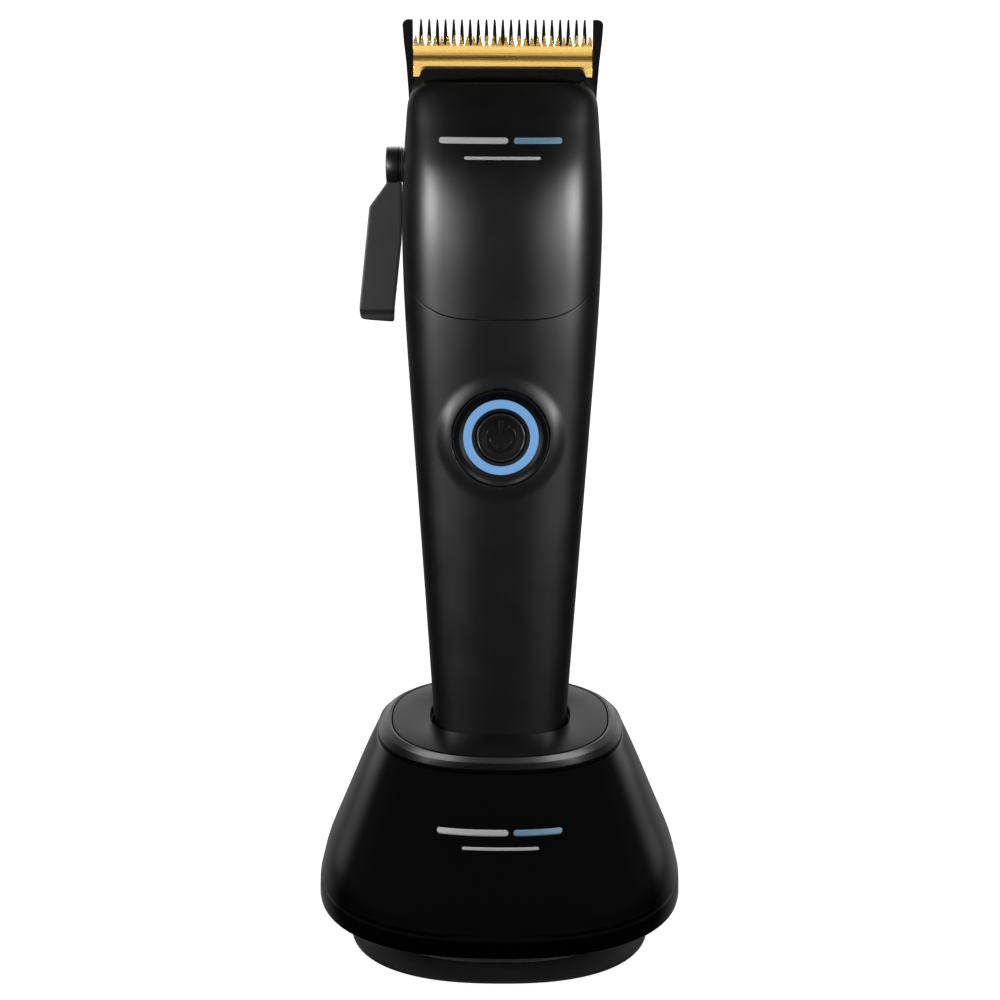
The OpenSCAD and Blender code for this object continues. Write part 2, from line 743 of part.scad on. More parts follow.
base_pad();
stand_base();
ballast_plate();
base_screws();
stand_shell();
stand_rim();
stand_top_plate();
stand_frame();
socket_cup();
contact_block();
contact_pins();
contact_springs();
charge_board();
dc_inlet();
front_housing();
rear_housing();
head_cover();
tail_cap();
charging_contacts();
chassis();
battery_cell();
battery_holder();
circuit_board();
tact_switch();
switch_bezel();
light_ring();
power_button();
motor_can();
motor_bracket();
motor_screws();
motor_armature();
motor_shaft();
motor_eccentric();
drive_fork();
cutter_guide();
cutter_blade();
comb_blade();
blade_carrier();
blade_screws();
tension_spring();
lever_bush();
lever_shaft();
lever_washer();
taper_lever();
lever_screw();
housing_screws();
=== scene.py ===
"""Looks of a cordless hair clipper that stands blades up in its charging stand.

Shapes are worked out in millimetres, in the frame of the clipper, the blades or the stand, and
turned into metres when a mesh is made.
"""
import json
import math

import bmesh
import bpy
from mathutils import Matrix, Vector


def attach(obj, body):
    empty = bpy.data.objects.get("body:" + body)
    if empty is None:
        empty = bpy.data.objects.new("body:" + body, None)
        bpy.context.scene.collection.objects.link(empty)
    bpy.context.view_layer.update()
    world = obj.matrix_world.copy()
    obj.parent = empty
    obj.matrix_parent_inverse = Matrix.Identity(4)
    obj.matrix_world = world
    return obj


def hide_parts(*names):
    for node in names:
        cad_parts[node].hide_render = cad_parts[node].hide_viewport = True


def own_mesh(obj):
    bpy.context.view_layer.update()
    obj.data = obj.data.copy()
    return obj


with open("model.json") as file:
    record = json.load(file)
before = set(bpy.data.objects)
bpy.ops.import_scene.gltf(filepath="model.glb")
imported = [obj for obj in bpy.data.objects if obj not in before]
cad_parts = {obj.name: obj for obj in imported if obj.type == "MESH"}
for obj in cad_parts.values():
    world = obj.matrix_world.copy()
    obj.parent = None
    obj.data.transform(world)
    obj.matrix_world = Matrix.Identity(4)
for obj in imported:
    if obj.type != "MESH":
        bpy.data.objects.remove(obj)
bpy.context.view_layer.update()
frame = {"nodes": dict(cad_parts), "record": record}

MM = 0.001

# ---- Driving dimensions, in millimetres ----

LEAN = math.radians(10)
STAND_H = 53.0
SOCKET_BACK = 2.4
TAIL_SUNK = 18.7
WALL = 2.0
SEAM = 0.2
FRONT_POWER = 2.7
REAR_POWER = 2.3
STAND_POWER = 2.4
SOCKET_POWER = 2.8

SHELL_BOTTOM = 3.2
HEEL_Z = 150.9
COVER_TOP = 166.9
SEAM_MID_Z = 113.6
SEAM_RISE = 8.2
SEAM_CURVE = 3
BEND_REACH = 0.9

BLADE_Y = -4
BLADE_TOP = 181.3
BLADE_TILT = math.radians(12)
COMB_W = 46
COMB_TEETH = 21
COMB_T = 2.2
COMB_END_W = 2.4
COMB_ROOT = 7.2
COMB_LEN = 27
CUTTER_W = 41
CUTTER_TEETH = 28
CUTTER_TIP = -3.7
CUTTER_ROOT = 2.3
CUTTER_LEN = 9.4
BLADE_SCREW_X = 11.5
BLADE_SCREW_Z = -20.5

SWITCH_Z = 86
SWITCH_FRONT = 14.4
BEZEL_R = 11.3
RING_OUTER_R = 8.7
RING_INNER_R = 6.75
BUTTON_R = 5.75
COLLAR_OUTER_R = 15.2
COLLAR_INNER_R = 11.4
COLLAR_SHARE = 0.5
COLLAR_RISE = 0.6

LEVER_Y = 5
LEVER_Z = 147.5
BOSS_INNER_X = 23.45
BUSH_R = 4.0

TAIL_HALF_W = 14.3
TAIL_HALF_D = 11.4
CONTACT_X = 4

PLATE_HALF = 25.3
CREASE_HALF = 29.0
CREASE_DROP = 3
STAND_HALF_W = 42.7
DEPTH_RATIO = 0.97
FOOT_HALF = 36.3
SOCKET_HALF_W = 16.3
SOCKET_HALF_D = 13.6
INLET_Z = 16.5
INLET_FACE = 39.9

# Clipper's stations: height, half width, depth to the front, depth to the back
STATIONS = [
    (0, 14.4, 11.5, 11.5),
    (20, 15.75, 12.2, 12.6),
    (50, 17.9, 13.2, 14.8),
    (86, 20.55, 14.6, 17.2),
    (115, 22.55, 17.0, 19.4),
    (134.5, 23.2, 18.2, 18.8),
    (147.3, 22.9, 17.2, 13.4),
    (158.3, 22.25, 13.0, 8.0),
    (167.3, 22.1, 8.6, 6.0),
]

# Housing screws at the back: place across, and height
SCREW_SPOTS = [(-11.15, 84), (11.15, 84), (-14.5, 131), (14.5, 131)]


# ---- Placement ----

TAIL = Vector((0, SOCKET_BACK - TAIL_SUNK * math.sin(LEAN), STAND_H - TAIL_SUNK * math.cos(LEAN)))
STAND_FRAME = Matrix.Identity(4)
CLIPPER = Matrix.Translation(TAIL) @ Matrix.Rotation(-LEAN, 4, "X")
BLADES = CLIPPER @ Matrix.Translation((0, BLADE_Y, BLADE_TOP)) @ Matrix.Rotation(BLADE_TILT, 4, "X")
TO_BACK = Matrix.Rotation(math.radians(-90), 4, "X")
SWITCH = CLIPPER @ Matrix.Translation((0, -SWITCH_FRONT, SWITCH_Z)) @ Matrix.Rotation(
    math.radians(90), 4, "X")
LEVER = CLIPPER @ Matrix.Translation((0, LEVER_Y, LEVER_Z)) @ Matrix.Rotation(
    math.radians(-90), 4, "Y")


# ---- Formulas ----

def slope(table, i, c):
    """Slope of a station column at station i."""
    low, high = max(i - 1, 0), min(i + 1, len(table) - 1)
    return (table[high][c] - table[low][c]) / (table[high][0] - table[low][0])


def cubic(table, z, c):
    """Smooth value of a station column at height z."""
    i = 0
    while i < len(table) - 2 and z >= table[i + 1][0]:
        i += 1
    h = table[i + 1][0] - table[i][0]
    u = (z - table[i][0]) / h
    return ((1 + 2 * u) * (1 - u) ** 2 * table[i][c] + u * (1 - u) ** 2 * h * slope(table, i, c)
            + u * u * (3 - 2 * u) * table[i + 1][c] + u * u * (u - 1) * h * slope(table, i + 1, c))


def signed_power(value, power):
    return math.copysign(abs(value) ** power, value)


def rounded(angle, half_x, half_y, power):
    """Point of a superellipse: power 2 is an ellipse, and more is squarer."""
    c, s = math.cos(angle), math.sin(angle)
    return (half_x * signed_power(c, 2 / power), half_y * signed_power(s, 2 / power))


def even_angles(start, end, count, half_x, half_y, power):
    """Angles that space points evenly along a superellipse's outline."""
    fine = 2000
    angles = [start + (end - start) * i / fine for i in range(fine + 1)]
    points = [rounded(a, half_x, half_y, power) for a in angles]
    run = [0]
    for p, q in zip(points, points[1:]):
        run.append(run[-1] + math.dist(p, q))
    found, k = [], 0
    for i in range(count + 1):
        target = run[-1] * i / count
        while k < fine - 1 and run[k + 1] < target:
            k += 1
        share = (target - run[k]) / max(run[k + 1] - run[k], 1e-9)
        found.append(angles[k] + (angles[k + 1] - angles[k]) * min(max(share, 0), 1))
    return found


def blade_plane(z):
    """Depth of the fixed blade's face at a height."""
    return BLADE_Y + (BLADE_TOP - z) * math.tan(BLADE_TILT)


def parting(z):
    """Depth at which the front and back shells meet, which follows the blades at the top."""
    return min(0, blade_plane(z) - 0.4)


def soft_parting(z):
    """The parting with its bend eased, for the skins of the front."""
    return -BEND_REACH * math.log1p(math.exp((0.4 - blade_plane(z)) / BEND_REACH))


def smooth_step(low, high, value):
    u = min(max((value - low) / (high - low), 0), 1)
    return u * u * (3 - 2 * u)


# ---- Mesh making ----

def finish_mesh(name, bm, place, smooth_angle=35):
    """Makes an object from a bmesh in millimetres, set in place, with sharp edges kept sharp."""
    bmesh.ops.recalc_face_normals(bm, faces=bm.faces)
    mesh = bpy.data.meshes.new(name)
    bm.to_mesh(mesh)
    bm.free()
    mesh.transform(Matrix.Scale(MM, 4) @ place)
    mesh.polygons.foreach_set("use_smooth", [True] * len(mesh.polygons))
    mesh.set_sharp_from_angle(angle=math.radians(smooth_angle))
    obj = bpy.data.objects.new(name, mesh)
    bpy.context.scene.collection.objects.link(obj)
    return obj


def add_grid(bm, rows, close_columns=False, close_rows=False):
    """Adds a grid of faces through rows of points, and returns its vertices."""
    grid = [[bm.verts.new(p) for p in row] for row in rows]
    count = len(grid)
    for i in range(count if close_rows else count - 1):
        a, b = grid[i], grid[(i + 1) % count]
        width = len(a)
        for j in range(width if close_columns else width - 1):
            k = (j + 1) % width
            bm.faces.new((a[j], a[k], b[k], b[j]))
    return grid


def lathe(name, profile, place, segments=128, smooth_angle=35):
    """Turns a closed outline of (radius, height) points round the local Z axis."""
    bm = bmesh.new()
    rows = []
    for i in range(segments):
        a = 2 * math.pi * i / segments
        rows.append([(r * math.cos(a), r * math.sin(a), z) for r, z in profile])
    add_grid(bm, rows, close_columns=True, close_rows=True)
    bmesh.ops.remove_doubles(bm, verts=bm.verts, dist=1e-5)
    bmesh.ops.dissolve_degenerate(bm, edges=bm.edges, dist=1e-6)
    return finish_mesh(name, bm, place, smooth_angle)


def round_corners(points, radius, steps=4):
    """Rounds each corner of a closed outline by a radius, or by one radius per corner."""
    out = []
    count = len(points)
    for i, p in enumerate(points):
        r = radius[i] if isinstance(radius, (list, tuple)) else radius
        before, after = points[i - 1], points[(i + 1) % count]
        a = Vector((before[0] - p[0], before[1] - p[1]))
        b = Vector((after[0] - p[0], after[1] - p[1]))
        if r <= 0 or a.length < 1e-9 or b.length < 1e-9:
            out.append((p[0], p[1]))
            continue
        half = a.angle(b, math.pi) / 2
        cut = min(r / max(math.tan(half), 1e-6), a.length * 0.45, b.length * 0.45)
        start, end, corner = a.normalized() * cut, b.normalized() * cut, Vector((0, 0))
        for k in range(steps + 1):
            u = k / steps
            q = start * (1 - u) ** 2 + corner * 2 * u * (1 - u) + end * u * u
            out.append((p[0] + q.x, p[1] + q.y))
    return out


def extrude_outline(name, points, low, high, place, bevel=0.0):
    """Extrudes a closed outline in local XY from low to high, with its edges rounded."""
    bm = bmesh.new()
    bottom = [bm.verts.new((x, y, low)) for x, y in points]
    top = [bm.verts.new((x, y, high)) for x, y in points]
    count = len(points)
    bm.faces.new(bottom[::-1])
    bm.faces.new(top)
    for i in range(count):
        k = (i + 1) % count
        bm.faces.new((bottom[i], bottom[k], top[k], top[i]))
    obj = finish_mesh(name, bm, place)
    if bevel > 0:
        add_bevel(obj, bevel)
    return obj


def add_bevel(obj, width, segments=3, angle=30):
    """Rounds the edges that turn by more than an angle."""
    bevel = obj.modifiers.new("edges", "BEVEL")
    bevel.width = width * MM
    bevel.segments = segments
    bevel.limit_method = "ANGLE"
    bevel.angle_limit = math.radians(angle)
    bevel.harden_normals = True
    bevel.use_clamp_overlap = True


def cut(obj, *cutters, operation="DIFFERENCE"):
    """Cuts other meshes out of a piece, or keeps what is inside them, and removes them."""
    for cutter in cutters:
        boolean = obj.modifiers.new("cut", "BOOLEAN")
        boolean.operation = operation
        boolean.solver = "EXACT"
        boolean.object = cutter
    apply_modifiers(obj)
    for cutter in cutters:
        bpy.data.objects.remove(cutter, do_unlink=True)


def apply_modifiers(obj):
    bpy.context.view_layer.update()
    graph = bpy.context.evaluated_depsgraph_get()
    mesh = bpy.data.meshes.new_from_object(obj.evaluated_get(graph), depsgraph=graph)
    obj.modifiers.clear()
    old = obj.data
    obj.data = mesh
    bpy.data.meshes.remove(old)


def join(name, *objs):
    """Joins pieces into one object without changing their meshes."""
    for o in objs:
        if o.modifiers:
            apply_modifiers(o)
    bpy.context.view_layer.update()
    bpy.ops.object.select_all(action="DESELECT")
    for o in objs:
        o.select_set(True)
    bpy.context.view_layer.objects.active = objs[0]
    bpy.ops.object.join()
    objs[0].name = name
    return objs[0]


def place_piece(obj, body, slot, material, *nodes):
    """Gives a piece its finish and body, and lets it stand for CAD nodes. The slot is not used."""
    obj.data.materials.clear()
    obj.data.materials.append(material)
    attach(obj, body)
    if nodes:
        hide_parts(*nodes)
    return obj


# ---- Materials ----

def new_material(name):
    material = bpy.data.materials.new(name)
    material.use_nodes = True
    tree = material.node_tree
    shader = tree.nodes["Principled BSDF"]
    coords = tree.nodes.new("ShaderNodeTexCoord")
    return material, tree, shader, coords.outputs["Object"]


def add_node(tree, kind, values):
    node = tree.nodes.new(kind)
    for key, value in values.items():
        node.inputs[key].default_value = value
    return node


def noise(tree, coords, scale, detail=4, roughness=0.55):
    node = add_node(tree, "ShaderNodeTexNoise",
                    {"Scale": scale, "Detail": detail, "Roughness": roughness})
    tree.links.new(coords, node.inputs["Vector"])
    return node.outputs["Fac"]


def spread(tree, value, low, high):
    """Stretches the middle of a noise to low..high."""
    node = add_node(tree, "ShaderNodeMapRange",
                    {"From Min": 0.3, "From Max": 0.7, "To Min": low, "To Max": high})
    tree.links.new(value, node.inputs["Value"])
    return node.outputs["Result"]


def blend_colors(tree, value, first, second):
    node = tree.nodes.new("ShaderNodeMix")
    node.data_type = "RGBA"
    node.inputs["A"].default_value = (*first, 1)
    node.inputs["B"].default_value = (*second, 1)
    tree.links.new(value, node.inputs["Factor"])
    return node.outputs["Result"]


def bump(tree, shader, height, strength, distance):
    node = add_node(tree, "ShaderNodeBump", {"Strength": strength, "Distance": distance})
    tree.links.new(height, node.inputs["Height"])
    tree.links.new(node.outputs["Normal"], shader.inputs["Normal"])


def plastic(name, color, roughness, grain=0.0, grain_scale=6000, coat=0.0, variation=0.25,
            specular=0.5):
    """Moulded plastic: faint colour drift, uneven gloss and a fine spark-eroded grain."""
    material, tree, shader, coords = new_material(name)
    drift = noise(tree, coords, 60, 3)
    darker = tuple(c * (1 - variation) for c in color)
    lighter = tuple(c * (1 + variation) for c in color)
    tree.links.new(blend_colors(tree, drift, darker, lighter), shader.inputs["Base Color"])
    smudges = noise(tree, coords, 140, 5, 0.6)
    tree.links.new(spread(tree, smudges, roughness * 0.93, roughness * 1.07),
                   shader.inputs["Roughness"])
    shader.inputs["Specular IOR Level"].default_value = specular
    shader.inputs["Coat Weight"].default_value = coat
    shader.inputs["Coat Roughness"].default_value = 0.04
    if grain > 0:
        bump(tree, shader, noise(tree, coords, grain_scale, 2), grain, 0.00004)
    return material


def metal(name, color, roughness, brushed=None, scratches=0.2):
    """Metal with fine brush marks along one axis and slightly uneven gloss."""
    material, tree, shader, coords = new_material(name)
    shader.inputs["Metallic"].default_value = 1
    mapping = tree.nodes.new("ShaderNodeMapping")
    mapping.inputs["Scale"].default_value = brushed or (1, 1, 1)
    tree.links.new(coords, mapping.inputs["Vector"])
    marks = noise(tree, mapping.outputs["Vector"], 900, 4, 0.7)
    drift = noise(tree, coords, 80, 3)
    darker = tuple(c * 0.86 for c in color)
    tree.links.new(blend_colors(tree, drift, darker, color), shader.inputs["Base Color"])
    tree.links.new(spread(tree, marks, roughness * 0.75, roughness * 1.3),
                   shader.inputs["Roughness"])
    bump(tree, shader, marks, scratches, 0.00002)
    return material


def glow(name, color, strength):
    """Lit diffuser: a soft, slightly uneven glow under a milky skin."""
    material, tree, shader, coords = new_material(name)
    uneven = noise(tree, coords, 260, 2)
    dimmer = tuple(c * 0.92 for c in color)
    tree.links.new(blend_colors(tree, uneven, dimmer, color), shader.inputs["Emission Color"])
    shader.inputs["Emission Strength"].default_value = strength
    shader.inputs["Base Color"].default_value = (*(c * 0.1 for c in color), 1)
    shader.inputs["Roughness"].default_value = 0.35
    shader.inputs["Specular IOR Level"].default_value = 0.2
    return material


SATIN = plastic("satin_black", (0.0006, 0.0006, 0.00065), 0.35, 0.12, specular=0.22)
GLOSS = plastic("gloss_black", (0.0012, 0.0012, 0.0014), 0.14, coat=0.3)
RIM = plastic("rim_black", (0.002, 0.002, 0.0022), 0.25, 0.08, specular=0.36)
PLATE = plastic("plate_black", (0.0015, 0.0015, 0.0017), 0.3, 0.1, specular=0.2)
FOOT = plastic("foot_black", (0.002, 0.002, 0.0021), 0.42, 0.15, specular=0.4)
GUIDE = plastic("guide_black", (0.002, 0.002, 0.0021), 0.4, 0.15, specular=0.2)
LEVER_BLACK = plastic("lever_black", (0.0155, 0.0155, 0.016), 0.42, 0.12, specular=0.15)
# Darker copy of the lever's plastic for its turned boss: painted shade, as boss and arm are one
# moulding.
BOSS_PAINTED_SHADE = plastic("boss_painted_shade", (0.0025, 0.0025, 0.0026), 0.4, 0.12, specular=0.3)
BEZEL_BLACK = plastic("bezel_black", (0.003, 0.003, 0.0033), 0.4, 0.1, specular=0.3)
BUTTON_BLACK = plastic("button_black", (0.001, 0.001, 0.0012), 0.34, 0.15, specular=0.25)
SIGN_BLACK = plastic("sign_black", (0.003, 0.003, 0.0033), 0.2, specular=0.75)
INNER = plastic("inner_plastic", (0.03, 0.03, 0.033), 0.5, 0.3)
ACETAL = plastic("white_acetal", (0.72, 0.72, 0.69), 0.4, 0.2, variation=0.04)
RUBBER = plastic("pad_rubber", (0.018, 0.018, 0.018), 0.85, 0.8, 3000)
BOARD = plastic("board_green", (0.012, 0.11, 0.04), 0.35, 0.2, variation=0.15)
WRAP = plastic("cell_sleeve", (0.02, 0.08, 0.3), 0.25, 0.1, variation=0.1)
STEEL = metal("steel", (0.56, 0.57, 0.58), 0.3, (1, 1, 12))
BALLAST = metal("ballast_iron", (0.2, 0.2, 0.21), 0.6)
CONTACT = metal("plated_gold", (0.85, 0.62, 0.25), 0.22)
COPPER = metal("copper", (0.72, 0.36, 0.2), 0.35, (1, 1, 30))
GOLD = metal("gold_coating", (0.90, 0.59, 0.17), 0.26, (0.04, 5, 5), 0.015)
BLACK_BLADE = plastic("black_blade", (0.002, 0.002, 0.0022), 0.3, 0.15, specular=0.35)
LIGHT = glow("ring_glow", (0.17, 0.36, 0.66), 1.0)
PRINT_GREY = plastic("print_grey", (0.1, 0.1, 0.103), 0.5, variation=0.05)
PRINT_BLUE = plastic("print_blue", (0.02, 0.052, 0.08), 0.5, variation=0.05)
# Light grey bead for the black button's edge: a painted highlight ring.
BUTTON_RIM_HIGHLIGHT = plastic("button_rim", (0.05, 0.055, 0.065), 0.2, variation=0.05)

CAD_FINISH = {
    "shell_satin": SATIN, "stand_gloss": GLOSS, "rim_semi": RIM, "plate_satin": PLATE,
    "foot_black": FOOT, "pad_rubber": RUBBER, "inner_plastic": INNER, "white_plastic": ACETAL,
    "steel": STEEL, "ballast": BALLAST, "gold_blade": GOLD, "black_blade": BLACK_BLADE,
    "contact_gold": CONTACT, "board_green": BOARD, "cell_wrap": WRAP, "lever_black": LEVER_BLACK,
    "ring_light": LIGHT, "button_black": BUTTON_BLACK, "bezel_black": BEZEL_BLACK,
    "copper": COPPER,
}


def dress_cad():
    """Gives every CAD node the procedural finish of its slot."""
    for part in frame["record"]["subparts"]:
        obj = frame["nodes"][part["node"]]
        finish = CAD_FINISH[part["material_slot"]]
        if not obj.material_slots:
            obj.data.materials.append(finish)
        for slot in obj.material_slots:
            slot.material = finish


# ---- Clipper's shells ----

def skin(z, angle, inset, side):
    """Point of the clipper's skin, on the front (side -1) or the back (side 1)."""
    power = FRONT_POWER if side < 0 else REAR_POWER
    depth = cubic(STATIONS, z, 2 if side < 0 else 3) - inset
    x, y = rounded(angle, cubic(STATIONS, z, 1) - inset, depth, power)
    bend = parting(z) + (soft_parting(z) - parting(z)) * min(abs(y) / 3, 1) * (side < 0)
    return x, bend + side * (SEAM / 2 + abs(y)), z


def seam_z(angle):
    """Height of the seam below the head cover, which rises to the sides."""
    return SEAM_MID_Z + SEAM_RISE * abs(math.cos(angle)) ** SEAM_CURVE


def shell_piece(name, outer, inner, place, bevel):
    """A closed shell between an outer and an inner grid of points."""
    bm = bmesh.new()
    out = add_grid(bm, outer)
    inn = add_grid(bm, inner)
    for a, b in ((out[0], inn[0]), (out[-1], inn[-1])):
        for j in range(len(a) - 1):
            bm.faces.new((a[j], a[j + 1], b[j + 1], b[j]))
    for j in (0, -1):
        for i in range(len(out) - 1):
            bm.faces.new((out[i][j], out[i + 1][j], inn[i + 1][j], inn[i][j]))
    obj = finish_mesh(name, bm, place, 40)
    if bevel > 0:
        add_bevel(obj, bevel, 3, 40)
    return obj


COLUMNS = 150
FRONT_ANGLES = even_angles(math.pi, 2 * math.pi, COLUMNS, 19, 14, FRONT_POWER)
REAR_ANGLES = even_angles(math.pi, 0, COLUMNS, 20, 17, REAR_POWER)


def make_front_housing():
    """Front half of the handle, swept up softly into a collar round the switch."""

    def grid(inset):
        rows = []
        count = 190
        for i in range(count + 1):
            row = []
            for a in FRONT_ANGLES:
                top = seam_z(a) - SEAM / 2
                z = SHELL_BOTTOM + (top - SHELL_BOTTOM) * i / count
                x, y, z = skin(z, a, inset, -1)
                if inset == 0:
                    lift = smooth_step(COLLAR_OUTER_R, COLLAR_INNER_R, math.hypot(x, z - SWITCH_Z))
                    y -= (cubic(STATIONS, z, 2) + COLLAR_RISE + y) * lift * COLLAR_SHARE
                row.append((x, y, z))
            rows.append(row)
        return rows

    obj = shell_piece("front_housing_skin", grid(0), grid(WALL), CLIPPER, 0.22)
    r = BEZEL_R + 0.1
    cut(obj, lathe("switch_hole", [(0, -8), (r, -8), (r, 8), (0, 8)], SWITCH))
    return place_piece(obj, "clipper", "shell_satin", SATIN, "front_housing")


def make_rear_housing():
    def grid(inset):
        heights = [SHELL_BOTTOM + (HEEL_Z - SHELL_BOTTOM) * i / 150 for i in range(151)]
        rows = [[skin(z, a, inset, 1) for a in REAR_ANGLES] for z in heights]
        lip = []
        for a in REAR_ANGLES:
            x, y, _ = skin(HEEL_Z, a, 0, 1)
            if inset:
                lip.append((x * 0.86, 0.1 + (y - 0.1) * 0.5, HEEL_Z - 1.2))
            else:
                lip.append((x * 0.94, 0.1 + (y - 0.1) * 0.62, HEEL_Z + 0.9))
        return rows + [lip]

    obj = shell_piece("rear_housing_skin", grid(0), grid(WALL), CLIPPER, 0.22)
    holes = [lathe("bush_hole", [(0, 14), (4.05, 14), (4.05, 28), (0, 28)], LEVER)]
    for x, z in SCREW_SPOTS:
        place = CLIPPER @ Matrix.Translation((x, 6, z)) @ TO_BACK
        holes.append(lathe("screw_hole", [(0, 0), (2.6, 0), (2.6, 20), (0, 20)], place, 48))
    cut(obj, *holes)
    return place_piece(obj, "clipper", "shell_satin", SATIN, "rear_housing")


def make_head_cover():
    """Front cover of the head, with wide rounded shoulders and a lip round the blades."""
    def shoulder(z):
        return 3.4 * math.exp((z - COVER_TOP) / 2.1) - 3.4 * math.exp(-7)

    def point(angle, v, inset):
        low = seam_z(angle) + SEAM / 2
        z = low + (COVER_TOP - low) * math.sin(math.pi / 2 * v)
        x, y, z = skin(z, angle, inset, -1)
        side = abs(math.cos(angle)) ** (2 / FRONT_POWER)
        x -= math.copysign(shoulder(z) * (0.5 if inset else 1) * side, math.cos(angle))
        return x, y, z - inset * v

    def lip(angle, inset):
        x = point(angle, 1, 0)[0] * (18.5 - inset * 0.2) / 18.7
        depth = (4.9 - inset * 0.3) * max(0, 1 - abs(x / (18.51 - inset * 0.2)) ** 4) ** 0.25
        return x, parting(COVER_TOP) - 0.1 - depth, COVER_TOP + (-0.5 if inset else 0.35)

    def grid(inset):
        count = 110
        rows = [[point(a, i / count, inset) for a in FRONT_ANGLES] for i in range(count + 1)]
        return rows + [[lip(a, inset) for a in FRONT_ANGLES]]

    obj = shell_piece("head_cover_skin", grid(0), grid(WALL), CLIPPER, 0.32)
    return place_piece(obj, "clipper", "shell_satin", SATIN, "head_cover")


def on_skin(x, z, lift):
    """Point just above the head cover's front at a width and a height."""
    half, depth = cubic(STATIONS, z, 1), cubic(STATIONS, z, 2)
    y = depth * (1 - min(abs(x) / half, 1) ** FRONT_POWER) ** (1 / FRONT_POWER)
    return x, soft_parting(z) - SEAM / 2 - y - lift, z


def bar_outline(x, z, half_w, half_h):
    """Outline of a bar with round ends."""
    points, steps = [], 8
    for side in (1, -1):
        for k in range(steps + 1):
            a = math.pi * (k / steps - 0.5)
            points.append((x + side * (half_w - half_h + half_h * math.cos(a)),
                           z + side * half_h * math.sin(a)))
    return points


def printed_bar(name, x, z, half_w, half_h, surface, material, place, body):
    """Thin printed bar with round ends that follows a surface."""
    bm = bmesh.new()
    count = 48
    rows = []
    for i in range(count + 1):
        u = -half_w * math.cos(math.pi * i / count)
        edge = max(0, abs(u) - half_w + half_h)
        h = math.sqrt(max(half_h ** 2 - edge ** 2, 1e-4))
        rows.append([surface(x + u, z - h + 2 * h * k / 4) for k in range(5)])
    add_grid(bm, rows)
    obj = finish_mesh(name, bm, place)
    solid = obj.modifiers.new("film", "SOLIDIFY")
    solid.thickness = 0.03 * MM
    solid.offset = 0
    apply_modifiers(obj)
    return place_piece(obj, body, None, material)


def make_cover_marks():
    """Plain bars stand for the printing on the head."""
    def surface(x, z):
        return on_skin(x, z, 0.03)

    printed_bar("mark_main", -6.5, 154.3, 7.9, 0.7, surface, PRINT_GREY, CLIPPER, "clipper")
    printed_bar("mark_tint", 8.2, 154.3, 5.5, 0.7, surface, PRINT_BLUE, CLIPPER, "clipper")
    printed_bar("mark_small", 0.1, 150.4, 8.7, 0.35, surface, PRINT_GREY, CLIPPER, "clipper")


def make_screws():
    """Cross-slotted housing screws at the back, and the blades' screws."""
    def head(name, r, h, place, slot_w, slot_d):
        top = [(0, 0), (r, 0), (r, h * 0.55), (r * 0.93, h * 0.82), (r * 0.7, h), (0, h)]
        screw = lathe(name, top, place, 64)
        arms = [extrude_outline("slot", [(-a, -b), (a, -b), (a, b), (-a, b)], h - slot_d, h + 1,
                                place)
                for a, b in ((r * 0.62, slot_w), (slot_w, r * 0.62))]
        cut(screw, *arms)
        return screw

    heads = []
    for x, z in SCREW_SPOTS:
        half, depth = cubic(STATIONS, z, 1), cubic(STATIONS, z, 3)
        back = depth * (1 - (abs(x) / half) ** REAR_POWER) ** (1 / REAR_POWER)
        place = CLIPPER @ Matrix.Translation((x, back - 2.4, z)) @ TO_BACK
        heads.append(head("housing_screw", 2.4, 1.2, place, 0.32, 0.8))
        shank, length = CLIPPER @ Matrix.Translation((x, 1, z)) @ TO_BACK, back - 3.3
        heads.append(lathe("shank", [(0, 0), (1.15, 0), (1.15, length), (0, length)], shank, 24))
    screws = join("housing_screw_set", *heads)
    place_piece(screws, "clipper", "steel", STEEL, "housing_screws")
    heads = []
    for x in (-BLADE_SCREW_X, BLADE_SCREW_X):
        place = BLADES @ Matrix.Translation((x, 0, BLADE_SCREW_Z)) @ TO_BACK
        seat = place @ Matrix.Translation((0, 0, 1.02))
        heads.append(head("blade_screw", 2.7, 1.1, seat, 0.35, 0.7))
        heads.append(lathe("shank", [(0, -3), (1.45, -3), (1.45, 1.4), (0, 1.4)], place, 24))
    place_piece(join("blade_screw_set", *heads), "comb_slide", "steel", STEEL, "blade_screws")


# ---- Blades ----

def prism_along_x(name, section, half_w):
    """A block with a (depth, height) section, right across the blades."""
    across = BLADES @ Matrix(((0, 0, 1, 0), (1, 0, 0, 0), (0, 1, 0, 0), (0, 0, 0, 1)))
    return extrude_outline(name, section, -half_w, half_w, across)


# Outlines drawn on the blades' face: X across, Y up to the tips, and Z out to the front
FACING = BLADES @ Matrix.Rotation(math.radians(90), 4, "X")


